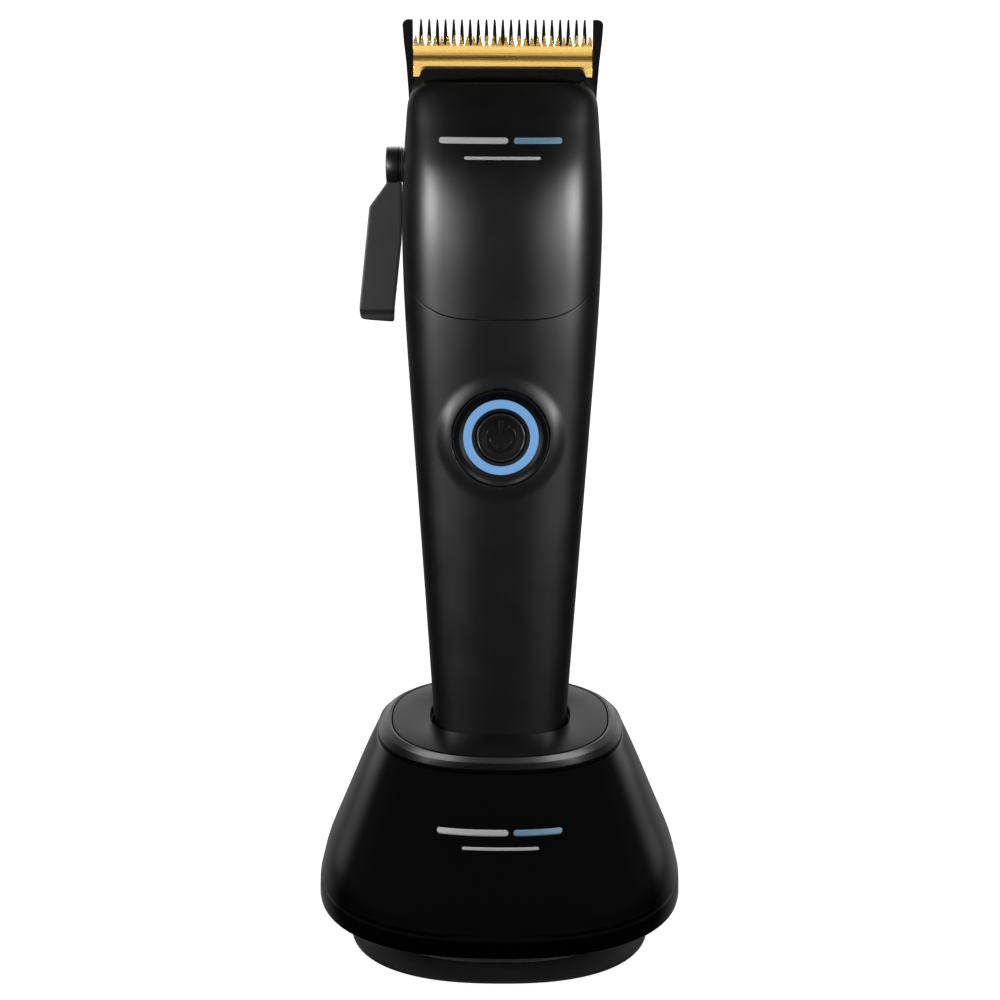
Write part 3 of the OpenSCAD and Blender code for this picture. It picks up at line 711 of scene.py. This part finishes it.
def make_comb_blade():
    """Fixed blade: slim ground teeth between two broad end pieces."""
    half = COMB_W / 2
    field = COMB_W - 2 * COMB_END_W
    pitch = field / (COMB_TEETH + 1)
    points = []
    for i in range(1, COMB_TEETH + 1):
        x = -field / 2 + i * pitch
        side = [(pitch * 0.5 - 0.28, -COMB_ROOT), (pitch * 0.5 - 0.42, -COMB_ROOT + 0.3),
                (0.45, -3.9), (0.34, -1.8), (0.21, -0.12), (0.12, 0)]
        points += [(x - w, z) for w, z in side] + [(x + w, z) for w, z in reversed(side)]
    inner, corner = half - COMB_END_W, []
    for k in range(7):
        a = math.radians(90 - 15 * k)
        corner.append((half - 1.35 + 1.35 * math.cos(a), -1.35 + 1.35 * math.sin(a)))
    right = [(inner - 0.35, -COMB_ROOT), (inner, -COMB_ROOT + 0.3), (inner, -0.25),
             (inner + 0.1, -0.05), (inner + 0.3, 0)] + corner
    right += [(half - 0.25, -5), (half - 0.8, -10), (half - 1.3, -17), (half - 1.7, -COMB_LEN)]
    left = [(-x, z) for x, z in reversed(right)]
    points = left + points + right
    comb = extrude_outline("comb_blade_plate", points, -COMB_T, 0, FACING)
    grind = prism_along_x("grind", [
        (0, 1), (0.75, 1), (0.9, 0), (1.7, -4), (COMB_T, -10), (COMB_T, -COMB_LEN - 1),
        (0, -COMB_LEN - 1)], half + 1)
    cut(comb, grind, operation="INTERSECT")
    holes = []
    for x in (-BLADE_SCREW_X, BLADE_SCREW_X):
        place = BLADES @ Matrix.Translation((x, 0, BLADE_SCREW_Z)) @ TO_BACK
        holes.append(lathe("bore", [(0, -1), (1.5, -1), (1.5, 1), (2.8, 1), (2.8, 4), (0, 4)],
                           place, 64))
    cut(comb, *holes)
    add_bevel(comb, 0.09, 2, 25)
    apply_modifiers(comb)
    return place_piece(comb, "comb_slide", "black_blade", BLACK_BLADE, "comb_blade")


def make_cutter_blade():
    """Moving blade: short teeth with round roots, above ground steps."""
    half = CUTTER_W / 2
    tip, root, bottom = CUTTER_TIP, CUTTER_TIP - CUTTER_ROOT, CUTTER_TIP - CUTTER_LEN
    pitch = (CUTTER_W - 1.2) / (CUTTER_TEETH - 1)
    points = [(-half, bottom), (-half, root + 0.9)]
    for i in range(CUTTER_TEETH):
        x = -half + 0.6 + i * pitch
        flank = [(0.51, root + 0.3), (0.38, root + 0.72), (0.29, -4.6), (0.19, tip - 0.12),
                 (0.09, tip)]
        if i > 0:
            points.append((x - 0.66, root + 0.06))
            points += [(x - w, z) for w, z in flank]
        else:
            points += [(x - 0.45, -4.7), (x - 0.2, tip - 0.12), (x - 0.09, tip)]
        if i < CUTTER_TEETH - 1:
            points += [(x + w, z) for w, z in reversed(flank)]
            points += [(x + 0.66, root + 0.06), (x + pitch / 2, root)]
        else:
            points += [(x + 0.09, tip), (x + 0.2, tip - 0.12), (x + 0.45, -4.7)]
    points += [(half, root + 0.9), (half, bottom)]
    cutter = extrude_outline("cutter_blade_plate", points, 0.05, 1.6, FACING)
    steps = prism_along_x("steps", round_corners([
        (0, tip + 1), (-0.45, tip + 1), (-0.8, tip), (-1.22, root), (-1.3, root - 2.25),
        (-1.05, root - 2.4), (-0.85, root - 3.7), (-1.5, root - 4.6), (-1.6, bottom - 1),
        (0, bottom - 1)], 0.12, 2), half + 1)
    cut(cutter, steps, operation="INTERSECT")
    add_bevel(cutter, 0.07, 2, 25)
    apply_modifiers(cutter)
    return place_piece(cutter, "cutter", "gold_blade", GOLD, "cutter_blade")


def make_cutter_guide():
    """Black foot of the moving blade, with plain ribs on its face."""
    right = [(17.5, -10.65), (18.1, -10.8), (18.55, -11.2), (18.85, -11.8), (19.1, -12.4),
             (19.3, -12.75), (18.4, -13.35), (17.5, -13.9), (17.5, -16.8), (4.5, -16.8),
             (4.5, -27.8)]
    points = right + [(-x, z) for x, z in reversed(right)]
    guide = extrude_outline("cutter_guide_foot", points, 1.62, 3.6, FACING, bevel=0.25)
    apply_modifiers(guide)
    ribs = [guide]
    for i in range(17):
        x = -12.8 + i * 1.6
        ribs.append(extrude_outline("rib", bar_outline(x, -12.1, 0.5, 0.3), 3.5, 3.85, FACING,
                                    bevel=0.08))
    return place_piece(join("cutter_guide_foot", *ribs), "cutter", "foot_black", GUIDE,
                       "cutter_guide")


# ---- Lever ----

def make_lever():
    """Taper lever: a turned boss and a flat arm with a rolled thumb edge."""
    z0 = LEVER_Z
    outer = [(-27.05, z0 + 0.5), (-27.05, z0 - 4.4), (-31.0, z0 - 9.9), (-33.3, z0 - 33.2),
             (-33.2, z0 - 36.3), (-25.15, z0 - 36.9), (-25.0, z0 - 33.5), (-23.45, z0 - 18),
             (-23.3, z0 - 12), (-23.3, z0 - 4.6), (-23.45, z0 - 4.2), (-23.45, z0 + 0.5)]
    outline = round_corners(outer, [0.2, 0.3, 0.5, 1, 1.5, 0.7, 1, 1, 1, 0.2, 0.1, 0.2], 5)
    bm = bmesh.new()

    def span(z):
        xs = []
        for p, q in zip(outline, outline[1:] + outline[:1]):
            if (p[1] - z) * (q[1] - z) <= 0 and abs(p[1] - q[1]) > 1e-9:
                xs.append(p[0] + (q[0] - p[0]) * (z - p[1]) / (q[1] - p[1]))
        return min(xs), max(xs)

    low = min(z for _, z in outline)
    steps = [z0 + 0.5 - i * 0.25 for i in range(151)]
    heights = [z for z in steps if z > low + 0.05] + [low + 0.02]
    rows = []
    for z in heights:
        left, right = span(z)
        drop = (z0 - 33.1) - z
        front = 3.4 + 1.5 * smooth_step(0.5, 2.1, drop)
        tail = max(0, low + 1.3 - z) / 1.3
        front += 1.2 * (1 - math.sqrt(max(0, 1 - tail ** 2)))
        back = 6.6 - 0.9 * (1 - math.sqrt(max(0, 1 - tail ** 2)))
        e = min(0.42, (right - left) / 4)
        rows.append([(left + e, front, z), (left + e + 0.3, front, z), (right - e - 0.3, front, z),
                     (right - e, front, z), (right - e * 0.3, front + e * 0.3, z),
                     (right, front + e, z), (right, back - e, z), (right - e, back, z),
                     (left + e, back, z), (left, back - e, z), (left, front + e, z),
                     (left + e * 0.3, front + e * 0.3, z)])
    grid = add_grid(bm, rows, close_columns=True)
    bm.faces.new(grid[0])
    bm.faces.new(grid[-1][::-1])
    arm = finish_mesh("lever_arm", bm, CLIPPER, 28)
    boss = lathe("lever_boss", [
        (0, BOSS_INNER_X + 0.4), (2.6, BOSS_INNER_X + 0.4), (2.6, BOSS_INNER_X),
        (4.1, BOSS_INNER_X), (4.3, BOSS_INNER_X + 0.15), (4.3, BOSS_INNER_X + 0.45),
        (4.12, BOSS_INNER_X + 0.6), (4.42, BOSS_INNER_X + 0.8), (4.5, 25.2), (4.42, 26.55),
        (4.2, 26.9), (3.9, 27.08), (2.6, 27.1), (2.4, 26.9), (2.4, 26.1), (0, 26.1)], LEVER)
    place_piece(arm, "lever", "lever_black", LEVER_BLACK, "taper_lever")
    # The boss takes the darker copy of the lever's plastic, which paints shade on it.
    place_piece(boss, "lever", "lever_black", BOSS_PAINTED_SHADE)
    screw = lathe("lever_screw_head", [
        (0, 26.11), (2.3, 26.11), (2.3, 26.6), (2.1, 26.85), (1.7, 26.9), (0, 26.9)], LEVER, 64)
    slot = extrude_outline("slot", [(-2.5, -0.3), (2.5, -0.3), (2.5, 0.3), (-2.5, 0.3)], 26.5, 28,
                           LEVER)
    cut(screw, slot)
    place_piece(screw, "lever", "steel", STEEL, "lever_screw")
    bush = lathe("lever_bush_ring", round_corners([
        (2.56, 17.7), (BUSH_R, 17.7), (BUSH_R, 23.1), (2.56, 23.1)], 0.2), LEVER, 96)
    place_piece(bush, "clipper", "foot_black", FOOT, "lever_bush")
    return [arm, boss, screw]


# ---- Switch ----

def make_switch():
    bezel = lathe("switch_dish", round_corners([
        (5.95, -3), (BEZEL_R, -3), (BEZEL_R, -0.35), (11.1, 0.02), (10.85, 0.02), (10.3, -0.55),
        (9.6, -0.98), (8.78, -1.2), (8.74, -2.3), (6.72, -2.3), (6.72, -1.28), (5.95, -1.33)],
        [0.1, 0.1, 0.2, 0.12, 0.15, 0.6, 0.6, 0.06, 0, 0, 0.06, 0.1], 5), SWITCH, 192)
    place_piece(bezel, "clipper", "bezel_black", BEZEL_BLACK, "switch_bezel")
    ring = lathe("ring_diffuser", round_corners([
        (RING_INNER_R, -2.3), (RING_OUTER_R, -2.3), (RING_OUTER_R, -1.42), (8.2, -1.26),
        (7.2, -1.26), (RING_INNER_R, -1.42)], [0, 0, 0.1, 0.3, 0.3, 0.1]), SWITCH, 160)
    place_piece(ring, "clipper", "ring_light", LIGHT, "light_ring")
    dish = [(0, -1.62), (1.5, -1.59), (3, -1.51), (4.4, -1.38), (5.1, -1.3), (5.5, -1.34),
            (BUTTON_R, -1.55), (BUTTON_R, -2.6), (1.5, -2.6), (1.5, -2.9), (0, -2.9)]
    button = lathe("power_button_cap", dish, SWITCH, 160, 50)
    place_piece(button, "button", "button_black", BUTTON_BLACK, "power_button")
    sign = join("power_sign", *power_symbol())
    place_piece(sign, "button", "button_black", SIGN_BLACK)
    # Light grey bead round the button's edge, which paints the rim's highlight line.
    rim = lathe("button_rim", [
        (5.2, -1.33), (5.38, -1.27), (5.56, -1.33), (5.6, -1.45), (5.2, -1.45)], SWITCH, 160)
    place_piece(rim, "button", "button_black", BUTTON_RIM_HIGHLIGHT)
    return [bezel, ring, button, sign, rim]


def power_symbol():
    """Generic on-off sign in broad flat strokes, raised a little from the button."""
    middle_r, stroke, gap = 3.0, 1.05, math.radians(34)
    arc = []
    steps = 48
    for side in (1, -1):
        r = middle_r + side * stroke / 2
        for i in range(steps + 1)[::side]:
            a = math.pi / 2 + gap + (2 * math.pi - 2 * gap) * i / steps
            arc.append((r * math.cos(a), r * math.sin(a)))
    half = stroke / 2
    bar = round_corners([(-half, 0.1), (half, 0.1), (half, 4.1), (-half, 4.1)], half * 0.8)
    return [extrude_outline("sign_arc", arc, -1.7, -1.36, SWITCH, bevel=0.12),
            extrude_outline("sign_bar", bar, -1.7, -1.3, SWITCH, bevel=0.12)]


# ---- Stand ----

def stand_side(z):
    """Half width of the stand's shell at a height."""
    table = [(9.6, STAND_HALF_W - 0.3), (10.4, STAND_HALF_W), (14.2, STAND_HALF_W - 0.2),
             (16, STAND_HALF_W - 0.6), (19, STAND_HALF_W - 1.3), (22.5, STAND_HALF_W - 2.4),
             (30, STAND_HALF_W - 5.4), (42.5, STAND_HALF_W - 10.4),
             (STAND_H - CREASE_DROP, CREASE_HALF)]
    return cubic(table, z, 1)


STAND_ANGLES = even_angles(0, 2 * math.pi, 280, 1, 1, STAND_POWER)[:-1]


def stand_loop(name, profile, smooth_angle=35):
    """Sweeps a closed profile of (half width, height) round the stand's outline."""
    bm = bmesh.new()
    rows = [[(*rounded(a, half, half * DEPTH_RATIO, STAND_POWER), z) for half, z in profile]
            for a in STAND_ANGLES]
    add_grid(bm, rows, close_columns=True, close_rows=True)
    return finish_mesh(name, bm, STAND_FRAME, smooth_angle)


def make_stand_shell():
    """Flared shell with an upright band round its foot."""
    top = STAND_H - CREASE_DROP
    heights = [15.2 + (top - 0.35 - 15.2) * i / 60 for i in range(61)]
    band = [(STAND_HALF_W - 0.7, 9.6), (STAND_HALF_W - 0.35, 9.68), (STAND_HALF_W - 0.1, 9.95),
            (STAND_HALF_W, 10.4), (STAND_HALF_W - 0.03, 12), (STAND_HALF_W - 0.1, 13.9),
            (STAND_HALF_W - 0.19, 14.25), (STAND_HALF_W - 0.36, 14.6)]
    outer = band + [(stand_side(z), z) for z in heights]
    outer += [(CREASE_HALF - 0.02, top - 0.04), (CREASE_HALF - 0.3, top)]
    inner = [(stand_side(top) - 2.5, top)] + [(stand_side(z) - 2.5, z)
                                              for z in (45, 40, 35, 30, 25, 20, 16, 13, 9.6)]
    obj = stand_loop("stand_shell_skin", outer + inner, 22)
    place = Matrix.Translation((0, 30, INLET_Z)) @ TO_BACK
    cut(obj, lathe("inlet_hole", [(0, 0), (5, 0), (5, 15), (0, 15)], place, 96))
    return place_piece(obj, "stand", "stand_gloss", GLOSS, "stand_shell")


def make_stand_rim():
    low = STAND_H - CREASE_DROP
    inner = PLATE_HALF + 0.2
    profile = round_corners([
        (CREASE_HALF - 1.2, low + 0.02), (CREASE_HALF - 0.12, low + 0.02),
        (CREASE_HALF - 0.3, low + 0.9), (CREASE_HALF - 1.5, low + 2.1),
        (inner + 0.55, STAND_H - 0.02), (inner, STAND_H - 0.15), (inner, low + 0.6)],
        [0.05, 0.12, 0.35, 0.7, 0.25, 0.12, 0.1], 5)
    return place_piece(stand_loop("stand_rim_ring", profile), "stand", "rim_semi", RIM, "stand_rim")


def make_top_plate():
    """Plate with the mouth of the socket."""
    outer = [(PLATE_HALF - 0.25, STAND_H - 2.5), (PLATE_HALF - 0.02, STAND_H - 2.3),
             (PLATE_HALF - 0.02, STAND_H - 0.3), (PLATE_HALF - 0.1, STAND_H - 0.08),
             (PLATE_HALF - 0.35, STAND_H)]
    bm = bmesh.new()
    rows = []
    for a in STAND_ANGLES:
        row = [(*rounded(a, h, h * DEPTH_RATIO, STAND_POWER), z) for h, z in outer]
        for half, z in ((0.6, STAND_H), (0.25, STAND_H - 0.1), (0.02, STAND_H - 0.4),
                        (0.02, STAND_H - 2.5)):
            x, y = rounded(a, SOCKET_HALF_W + half, SOCKET_HALF_D + half, SOCKET_POWER)
            row.append((x, y + SOCKET_BACK, z))
        rows.append(row)
    add_grid(bm, rows, close_columns=True, close_rows=True)
    plate = finish_mesh("top_plate", bm, STAND_FRAME, 35)
    return place_piece(plate, "stand", "plate_satin", PLATE, "stand_top_plate")


def make_foot():
    """Base with a coved side and a bevelled lower edge, and its rubber pad."""
    r = FOOT_HALF
    flange = STAND_HALF_W - 3.0
    profile = [(r - 3, 3), (r - 12, 3), (r - 12, 0.8), (r - 1.2, 0.8), (r - 0.55, 0.82),
               (r - 0.45, 1.0), (r - 0.1, 2.6), (r, 3.0), (r - 0.12, 3.25), (r - 0.5, 3.5),
               (r - 0.75, 4.4), (r - 0.7, 5.4), (r - 0.35, 7.0), (r + 0.2, 8.4), (r + 0.8, 9.5),
               (flange, 9.5), (flange, 11.4), (r - 3, 11.4)]
    foot = stand_loop("foot_ring", profile, 40)
    floor_half = r - 11.9
    floor_angles = even_angles(0, 2 * math.pi, 160, 1, 1, STAND_POWER)[:-1]
    floor = extrude_outline("foot_floor", [
        rounded(a, floor_half, floor_half * DEPTH_RATIO, STAND_POWER) for a in floor_angles],
        0.8, 3, STAND_FRAME)
    base = join("stand_foot", foot, floor)
    wells = []
    for x in (-17.5, 17.5):
        for y in (-16, 16):
            wells.append(lathe("well", [(0, -1), (3, -1), (3, 2), (1.6, 2), (1.6, 5), (0, 5)],
                               Matrix.Translation((x, y, 0)), 48))
    cut(base, *wells)
    place_piece(base, "stand", "foot_black", FOOT, "stand_base")
    p = r - 1
    pad = stand_loop("foot_pad", round_corners([
        (1, 0.02), (p - 0.1, 0.02), (p, 0.15), (p, 0.8), (1, 0.8)], 0.08))
    place_piece(pad, "stand", "pad_rubber", RUBBER, "base_pad")
    return [base, pad]


def make_inlet():
    """Barrel socket with a moulded collar and a centre pin."""
    place = Matrix.Translation((0, 0, INLET_Z)) @ TO_BACK
    collar = lathe("inlet_collar", round_corners([
        (2.76, 30.4), (4.8, 30.4), (4.8, INLET_FACE), (3.3, INLET_FACE), (2.76, INLET_FACE - 0.5)],
        [0, 0, 0.3, 0.25, 0.2]), place, 96)
    back = lathe("inlet_back", [(0, 28.5), (4.8, 28.5), (4.8, 30.39), (0, 30.39)], place, 48)
    body = extrude_outline("inlet_body", [(-5.5, 27), (5.5, 27), (5.5, 34.6), (-5.5, 34.6)],
                           11.4, 22, STAND_FRAME, bevel=0.3)
    cut(body, lathe("bore", [(0, 30.4), (2.76, 30.4), (2.76, 36), (0, 36)], place, 64))
    shell = join("inlet_body", body, collar, back)
    place_piece(shell, "stand", "inner_plastic", FOOT, "dc_inlet")
    pin = lathe("inlet_pin", [
        (0, 30.4), (1.0, 30.4), (1.0, 38.6), (0.75, 39.0), (0, 39.1)], place, 40)
    place_piece(pin, "stand", "steel", STEEL)


def make_tail():
    """Tail cap with its two charging contacts."""
    angles = even_angles(0, 2 * math.pi, 200, TAIL_HALF_W, TAIL_HALF_D, REAR_POWER)[:-1]
    bm = bmesh.new()
    rows = []
    for a in angles:
        row = []
        for inset, z in ((5, 3), (0.1, 3), (0, 2.85), (0, 0.6), (0.18, 0.2), (0.6, 0), (5, 0)):
            row.append((*rounded(a, TAIL_HALF_W - inset, TAIL_HALF_D - inset, REAR_POWER), z))
        rows.append(row)
    grid = add_grid(bm, rows, close_columns=True)
    bm.faces.new([row[0] for row in grid])
    bm.faces.new([row[-1] for row in grid][::-1])
    cap = finish_mesh("tail_cap_plate", bm, CLIPPER, 35)
    places = [CLIPPER @ Matrix.Translation((x, 0, 0)) for x in (-CONTACT_X, CONTACT_X)]
    cut(cap, *[lathe("window", [(0, -1), (2.1, -1), (2.1, 4), (0, 4)], p, 64) for p in places])
    place_piece(cap, "clipper", "foot_black", FOOT, "tail_cap")
    pads = [lathe("contact", [(0, 0.12), (1.6, 0.05), (1.9, 0.12), (2.0, 0.3), (2.0, 3.5),
                              (0, 3.5)], p, 64) for p in places]
    place_piece(join("tail_contacts", *pads), "clipper", "contact_gold", CONTACT,
                "charging_contacts")


def make_contact_springs():
    """Coil springs under the charging pins, made at one fixed length."""
    low, high, coil_r, wire_r = -8.95, -5.05, 1.22, 0.17
    turns, steps = 6, 20
    coils = []
    for side in (-CONTACT_X, CONTACT_X):
        bm = bmesh.new()
        rows = []
        for i in range(turns * steps + 1):
            share = i / (turns * steps)
            closed_ends = 0.25 * (smooth_step(0, 1, share) - share)
            z = low + wire_r + (high - low - 2 * wire_r) * (share + closed_ends)
            a = 2 * math.pi * i / steps
            row = []
            for k in range(8):
                t = 2 * math.pi * k / 8
                r = coil_r + wire_r * math.cos(t)
                row.append((side + r * math.cos(a), r * math.sin(a), z + wire_r * math.sin(t)))
            rows.append(row)
        grid = add_grid(bm, rows, close_columns=True)
        bm.faces.new(grid[0])
        bm.faces.new(grid[-1][::-1])
        coils.append(finish_mesh("coil", bm, CLIPPER, 60))
    springs = join("contact_spring_coils", *coils)
    place_piece(springs, "stand", "steel", STEEL, "contact_springs")
    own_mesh(springs)


def make_stand_marks():
    """Plain bars stand for the printing on the stand."""
    def surface(x, z):
        half = stand_side(z)
        y = half * DEPTH_RATIO * (1 - (abs(x) / half) ** STAND_POWER) ** (1 / STAND_POWER)
        return x, -y - 0.03, z

    printed_bar("stand_mark_main", -6.0, 37.6, 8.2, 0.7, surface, PRINT_GREY, STAND_FRAME, "stand")
    printed_bar("stand_mark_tint", 9.0, 37.6, 5.6, 0.7, surface, PRINT_BLUE, STAND_FRAME, "stand")
    printed_bar("stand_mark_small", 0.4, 34.2, 8.8, 0.35, surface, PRINT_GREY, STAND_FRAME, "stand")


# ---- Camera and lights ----

def direction(azimuth, elevation):
    """Direction by degrees round from the front, where 90 is +X, and degrees up."""
    a, e = math.radians(azimuth), math.radians(elevation)
    return Vector((math.sin(a) * math.cos(e), -math.cos(a) * math.cos(e), math.sin(e)))


def look_at(obj, target, roll=0.0):
    aim = (target - obj.location).to_track_quat("-Z", "Y")
    obj.rotation_euler = (aim @ Matrix.Rotation(roll, 4, "Z").to_quaternion()).to_euler()


def make_camera():
    data = bpy.data.cameras.new("camera")
    camera = bpy.data.objects.new("camera", data)
    bpy.context.scene.collection.objects.link(camera)
    target = Vector((-0.00016, 0, 0.10679))
    camera.location = target + 0.9 * direction(0.42, 18.83)
    look_at(camera, target, math.radians(0.16))
    data.sensor_width = 36
    data.lens = 140.2
    bpy.context.scene.camera = camera


def area_light(name, azimuth, elevation, distance, size, power):
    """Softbox that points at the clipper's head from a direction and a distance."""
    data = bpy.data.lights.new(name, "AREA")
    data.shape = "RECTANGLE"
    data.size, data.size_y = size
    data.energy = power
    light = bpy.data.objects.new(name, data)
    head = Vector((0, 0, 0.18))
    light.location = head + distance * direction(azimuth, elevation)
    look_at(light, head)
    bpy.context.scene.collection.objects.link(light)
    return light


def shine_only_on(light, pieces):
    """Keeps a light off everything but some pieces."""
    lit = bpy.data.collections.new(light.name + "_lit")
    for piece in pieces:
        lit.objects.link(piece)
    light.light_linking.receiver_collection = lit


def make_lights(stand_pieces, calm_pieces, lever_pieces, fronts, blade):
    """Softboxes in pairs at the sides, and cards above and behind. Each lights some pieces only:
    the side ones miss the stand and the calm pieces, and the blade's cards light only the gold."""
    pieces = [o for o in bpy.data.objects if o.type == "MESH"]
    inner = [o for o in pieces if o not in stand_pieces]
    left = [o for o in inner if o not in calm_pieces]
    right = [o for o in left if o not in lever_pieces]
    body = [o for o in pieces if o not in fronts + lever_pieces]
    back = [o for o in inner if o not in fronts]
    for side, lit in ((-1, left), (1, right)):
        shine_only_on(area_light("side_soft", side * 66, 4, 0.34, (0.12, 0.1), 2.0), lit)
        shine_only_on(area_light("side_wide", side * 48, 4, 0.42, (0.2, 0.1), 1.2), lit)
        shine_only_on(area_light("side_inner", side * 27, 2, 0.42, (0.14, 0.08), 0.44), inner)
        shine_only_on(area_light("high_side", side * 105, 58, 0.6, (0.4, 0.3), 3.0), body)
        shine_only_on(area_light("rear_side", side * 148, -6, 0.6, (0.6, 0.5), 4), back)
    shine_only_on(area_light("blade_card", 0, -12, 0.5, (0.6, 0.16), 0.36), [blade])
    shine_only_on(area_light("ledge_card", 0, 43, 0.5, (0.6, 0.25), 0.5), [blade])
    shine_only_on(area_light("top_head", 0, 88, 0.5, (0.3, 0.2), 0.1), fronts[:1])
    shine_only_on(area_light("collar_card", 0, 55, 0.5, (0.3, 0.12), 0.6), fronts[1:])
    shine_only_on(area_light("top_stand", 0, 88, 0.8, (0.5, 0.35), 0.3), stand_pieces[1:])
    shine_only_on(area_light("rear_soft", 180, 30, 0.8, (0.6, 0.5), 9), back)


def make_floor():
    """Plain white floor, lit evenly, which the reflections and the underside views don't see."""
    mesh = bpy.data.meshes.new("floor")
    half = 3
    mesh.from_pydata([(-half, -half, 0), (half, -half, 0), (half, half, 0), (-half, half, 0)], [],
                     [(0, 1, 2, 3)])
    floor = bpy.data.objects.new("floor", mesh)
    bpy.context.scene.collection.objects.link(floor)
    material, tree, shader, _ = new_material("floor_white")
    shader.inputs["Emission Color"].default_value = (1, 1, 1, 1)
    shader.inputs["Emission Strength"].default_value = 1.0
    shader.inputs["Base Color"].default_value = (0.8, 0.8, 0.8, 1)
    clear = tree.nodes.new("ShaderNodeBsdfTransparent")
    facing = tree.nodes.new("ShaderNodeNewGeometry")
    one_sided = tree.nodes.new("ShaderNodeMixShader")
    tree.links.new(facing.outputs["Backfacing"], one_sided.inputs["Fac"])
    tree.links.new(shader.outputs["BSDF"], one_sided.inputs[1])
    tree.links.new(clear.outputs["BSDF"], one_sided.inputs[2])
    tree.links.new(one_sided.outputs["Shader"], tree.nodes["Material Output"].inputs["Surface"])
    mesh.materials.append(material)
    floor.visible_glossy = False
    floor.visible_diffuse = False


def make_world():
    """White for the camera. Reflections see it bright behind the clipper, dim in front, and
    dimmer below."""
    world = bpy.data.worlds.new("studio")
    bpy.context.scene.world = world
    world.use_nodes = True
    tree = world.node_tree
    background = tree.nodes["Background"]
    background.inputs["Color"].default_value = (1, 1, 1, 1)
    coords = tree.nodes.new("ShaderNodeTexCoord")
    split = tree.nodes.new("ShaderNodeSeparateXYZ")
    tree.links.new(coords.outputs["Generated"], split.inputs["Vector"])
    product = tree.nodes.new("ShaderNodeMath")
    product.operation = "MULTIPLY"
    for factor, axis, start, end, dimmest in ((0, "Y", 0.35, 1, 0.045), (1, "Z", -0.2, 0.02, 0.15)):
        ramp = add_node(tree, "ShaderNodeMapRange",
                        {"From Min": start, "From Max": end, "To Min": dimmest, "To Max": 1})
        ramp.interpolation_type = "SMOOTHSTEP"
        tree.links.new(split.outputs[axis], ramp.inputs["Value"])
        tree.links.new(ramp.outputs["Result"], product.inputs[factor])
    path = tree.nodes.new("ShaderNodeLightPath")
    pick = tree.nodes.new("ShaderNodeMix")
    pick.data_type = "FLOAT"
    tree.links.new(path.outputs["Is Camera Ray"], pick.inputs["Factor"])
    tree.links.new(product.outputs["Value"], pick.inputs["A"])
    pick.inputs["B"].default_value = 1.0
    tree.links.new(pick.outputs["Result"], background.inputs["Strength"])


make_camera()
dress_cad()
front = make_front_housing()
make_rear_housing()
cover = make_head_cover()
make_cover_marks()
make_screws()
black_blade = make_comb_blade()
gold_blade = make_cutter_blade()
guide = make_cutter_guide()
lever = make_lever()
switch = make_switch()
stand = [make_stand_shell(), make_stand_rim(), make_top_plate()]
foot = make_foot()
make_inlet()
make_tail()
make_contact_springs()
make_stand_marks()
make_lights(stand, foot + switch + [black_blade, guide], lever, [cover, front], gold_blade)
make_world()
make_floor()

bpy.context.scene.view_settings.view_transform = "Standard"
